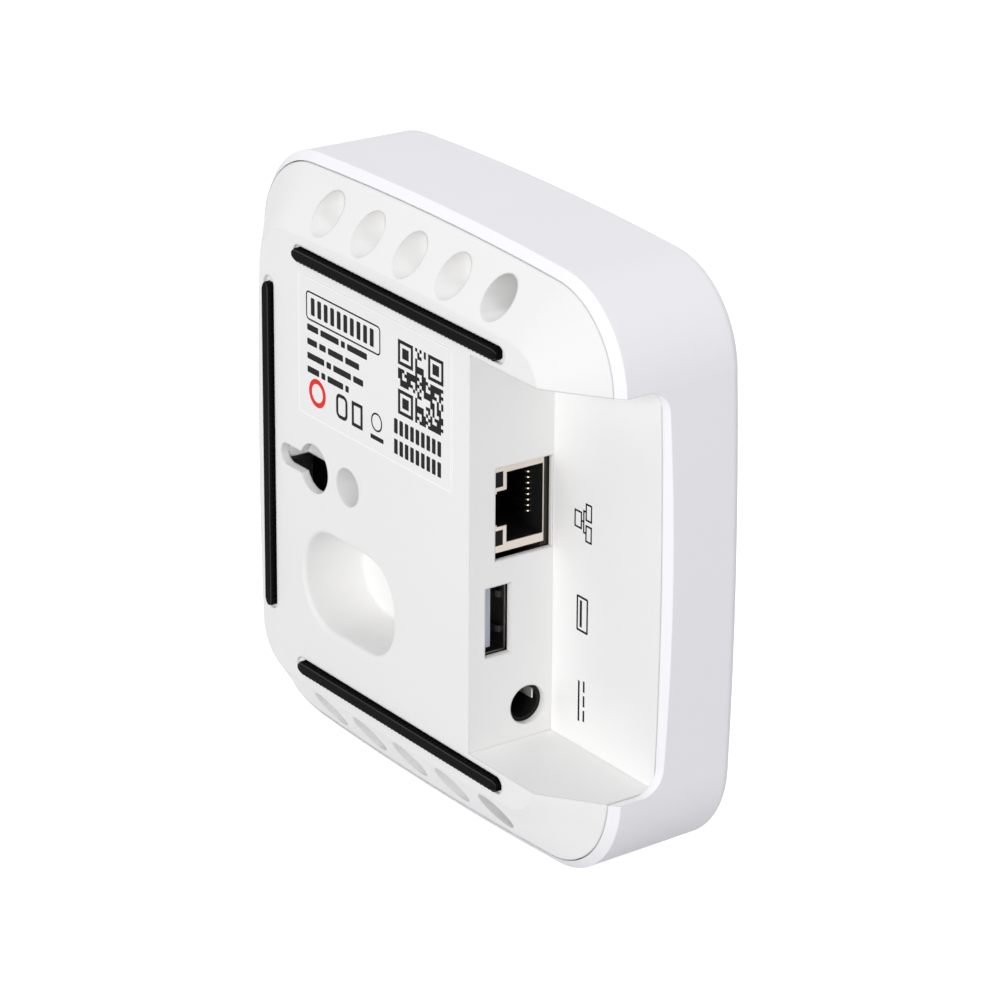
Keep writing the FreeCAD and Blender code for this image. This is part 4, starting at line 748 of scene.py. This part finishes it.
for shift in (0.0, DASH_PITCH, 2 * DASH_PITCH):
    power_strokes.append(stroke(31.4, -30.7 + shift, 31.4, -29.1 + shift, DIRECT_LINE))
printed("power_mark", power_strokes, [], BAY_FLOOR, ink_black)

# %% [markdown]
# The contacts of a network jack are flat wires. Each one comes out of the front edge, turns back
# and leans into the plug's space. The CAD has stepped bars, and a wire swept along a bent line
# replaces them here. Its tip has a painted highlight, and the rest is painted dark as shade.

# %% Bent contact wires
JACK_FACE = 21.45
CONTACT_WALL = 15.4
CONTACT_PITCH = 1.016
CONTACTS = 8
JACK_UP = 6.98
WIRE_HALF = 0.12
WIRE_THICK = 0.3
WIRE_PATH = [(-3.6, 0.05), (-3.75, -0.2), (-4.0, -0.42), (-4.4, -0.58), (-6.0, -0.90),
             (-8.5, -1.40), (-11.0, -1.90), (-11.9, -1.98), (-12.1, -1.90)]
WIRE_FACES = 4 * (len(WIRE_PATH) - 1) + 2
# painted highlight and painted shade: a bright and a dark copy of the contact gold
contact_highlight = moulded("contact_highlight", (0.95, 0.84, 0.66), 0.22, 0.3, 0.04, 0.1, metallic=1.0)
contact_shade = moulded("contact_shade", (0.10, 0.075, 0.04), 0.35, 0.3, 0.04, 0.1, metallic=1.0)
contact_points, contact_faces = [], []
for index in range(CONTACTS):
    middle = JACK_UP + (index - (CONTACTS - 1) / 2) * CONTACT_PITCH
    for along, lift in WIRE_PATH:
        for side, thick in ((-1, 0), (1, 0), (1, 1), (-1, 1)):
            contact_points.append(on_hub(JACK_FACE + along,
                                         CONTACT_WALL + lift - WIRE_THICK * thick,
                                         middle + WIRE_HALF * side))
    first = index * len(WIRE_PATH) * 4
    for step in range(len(WIRE_PATH) - 1):
        for corner in range(4):
            after = (corner + 1) % 4
            low = first + step * 4
            contact_faces.append((low + corner, low + after, low + 4 + after, low + 4 + corner))
    contact_faces.append((first, first + 3, first + 2, first + 1))
    last = first + (len(WIRE_PATH) - 1) * 4
    contact_faces.append((last, last + 1, last + 2, last + 3))
wires = build_mesh("bent_contact_wires", contact_points, contact_faces)
wires.data.materials.append(contact_highlight)
wires.data.materials.append(contact_shade)
# the first bend and the tip's end face take the painted highlight, the rest the painted shade
for face in wires.data.polygons:
    on_highlight = face.index % WIRE_FACES < 4 or face.index % WIRE_FACES == WIRE_FACES - 2
    face.material_index = 0 if on_highlight else 1
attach(wires, "case")
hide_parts("network_jack_contacts")

# %% [markdown]
# The flat socket's metal shell has spring tongues stamped into its wide sides, which grip the
# plug. Two of them show in the opening as small bumps, so each is a strip of a few faces along a
# bent line. The shell's cut edge catches the light, so a thin frame of brighter metal lies on it as
# a painted highlight.

# %% Spring tongues and edge highlight of the flat socket
SOCKET_FACE = 20.15
USB_UP = -12.9
USB_DEPTH = 5.95
USB_FAR = USB_DEPTH + 2.56
SPRING_OFFSET = 3.2
SPRING_HALF = 0.55
SPRING_FACES_BELOW = (0.02, 0.22)
SPRING_PATH = [(-9.0, 0.00), (-4.5, -0.20), (-2.6, -0.42), (-1.7, -0.38), (-1.1, -0.05)]
EDGE_HALF_DEPTH, EDGE_HALF_HEIGHT, EDGE_LINE = 2.86, 6.55, 0.3
spring_points, spring_faces = [], []
for middle in (USB_UP + SPRING_OFFSET, USB_UP - SPRING_OFFSET):
    first = len(spring_points)
    for along, lift in SPRING_PATH:
        for side in (-SPRING_HALF, SPRING_HALF):
            for below in SPRING_FACES_BELOW:
                spring_points.append(on_hub(SOCKET_FACE + along, USB_FAR + lift - below,
                                            middle + side))
    for step in range(len(SPRING_PATH) - 1):
        low = first + step * 4
        spring_faces += [(low, low + 2, low + 6, low + 4), (low + 1, low + 5, low + 7, low + 3),
                         (low, low + 4, low + 5, low + 1), (low + 2, low + 3, low + 7, low + 6)]
    last = first + (len(SPRING_PATH) - 1) * 4
    spring_faces += [(first, first + 1, first + 3, first + 2), (last, last + 2, last + 3, last + 1)]
springs = build_mesh("usb_shell_springs", spring_points, spring_faces)
springs.data.materials.append(usb_metal)
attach(springs, "case")
# painted highlight: a frame of brighter metal along the shell's edge
shell_edge_highlight = moulded("shell_edge_highlight", (0.90, 0.84, 0.76), 0.35, 0.3, 0.04, 0.05, metallic=1.0)
shell_edge = frame_loops(USB_DEPTH - EDGE_HALF_DEPTH, USB_DEPTH + EDGE_HALF_DEPTH,
                         USB_UP - EDGE_HALF_HEIGHT, USB_UP + EDGE_HALF_HEIGHT, EDGE_LINE, EDGE_LINE)
printed("usb_shell_edge", [], [shell_edge], SOCKET_FACE, shell_edge_highlight, sideways=True)
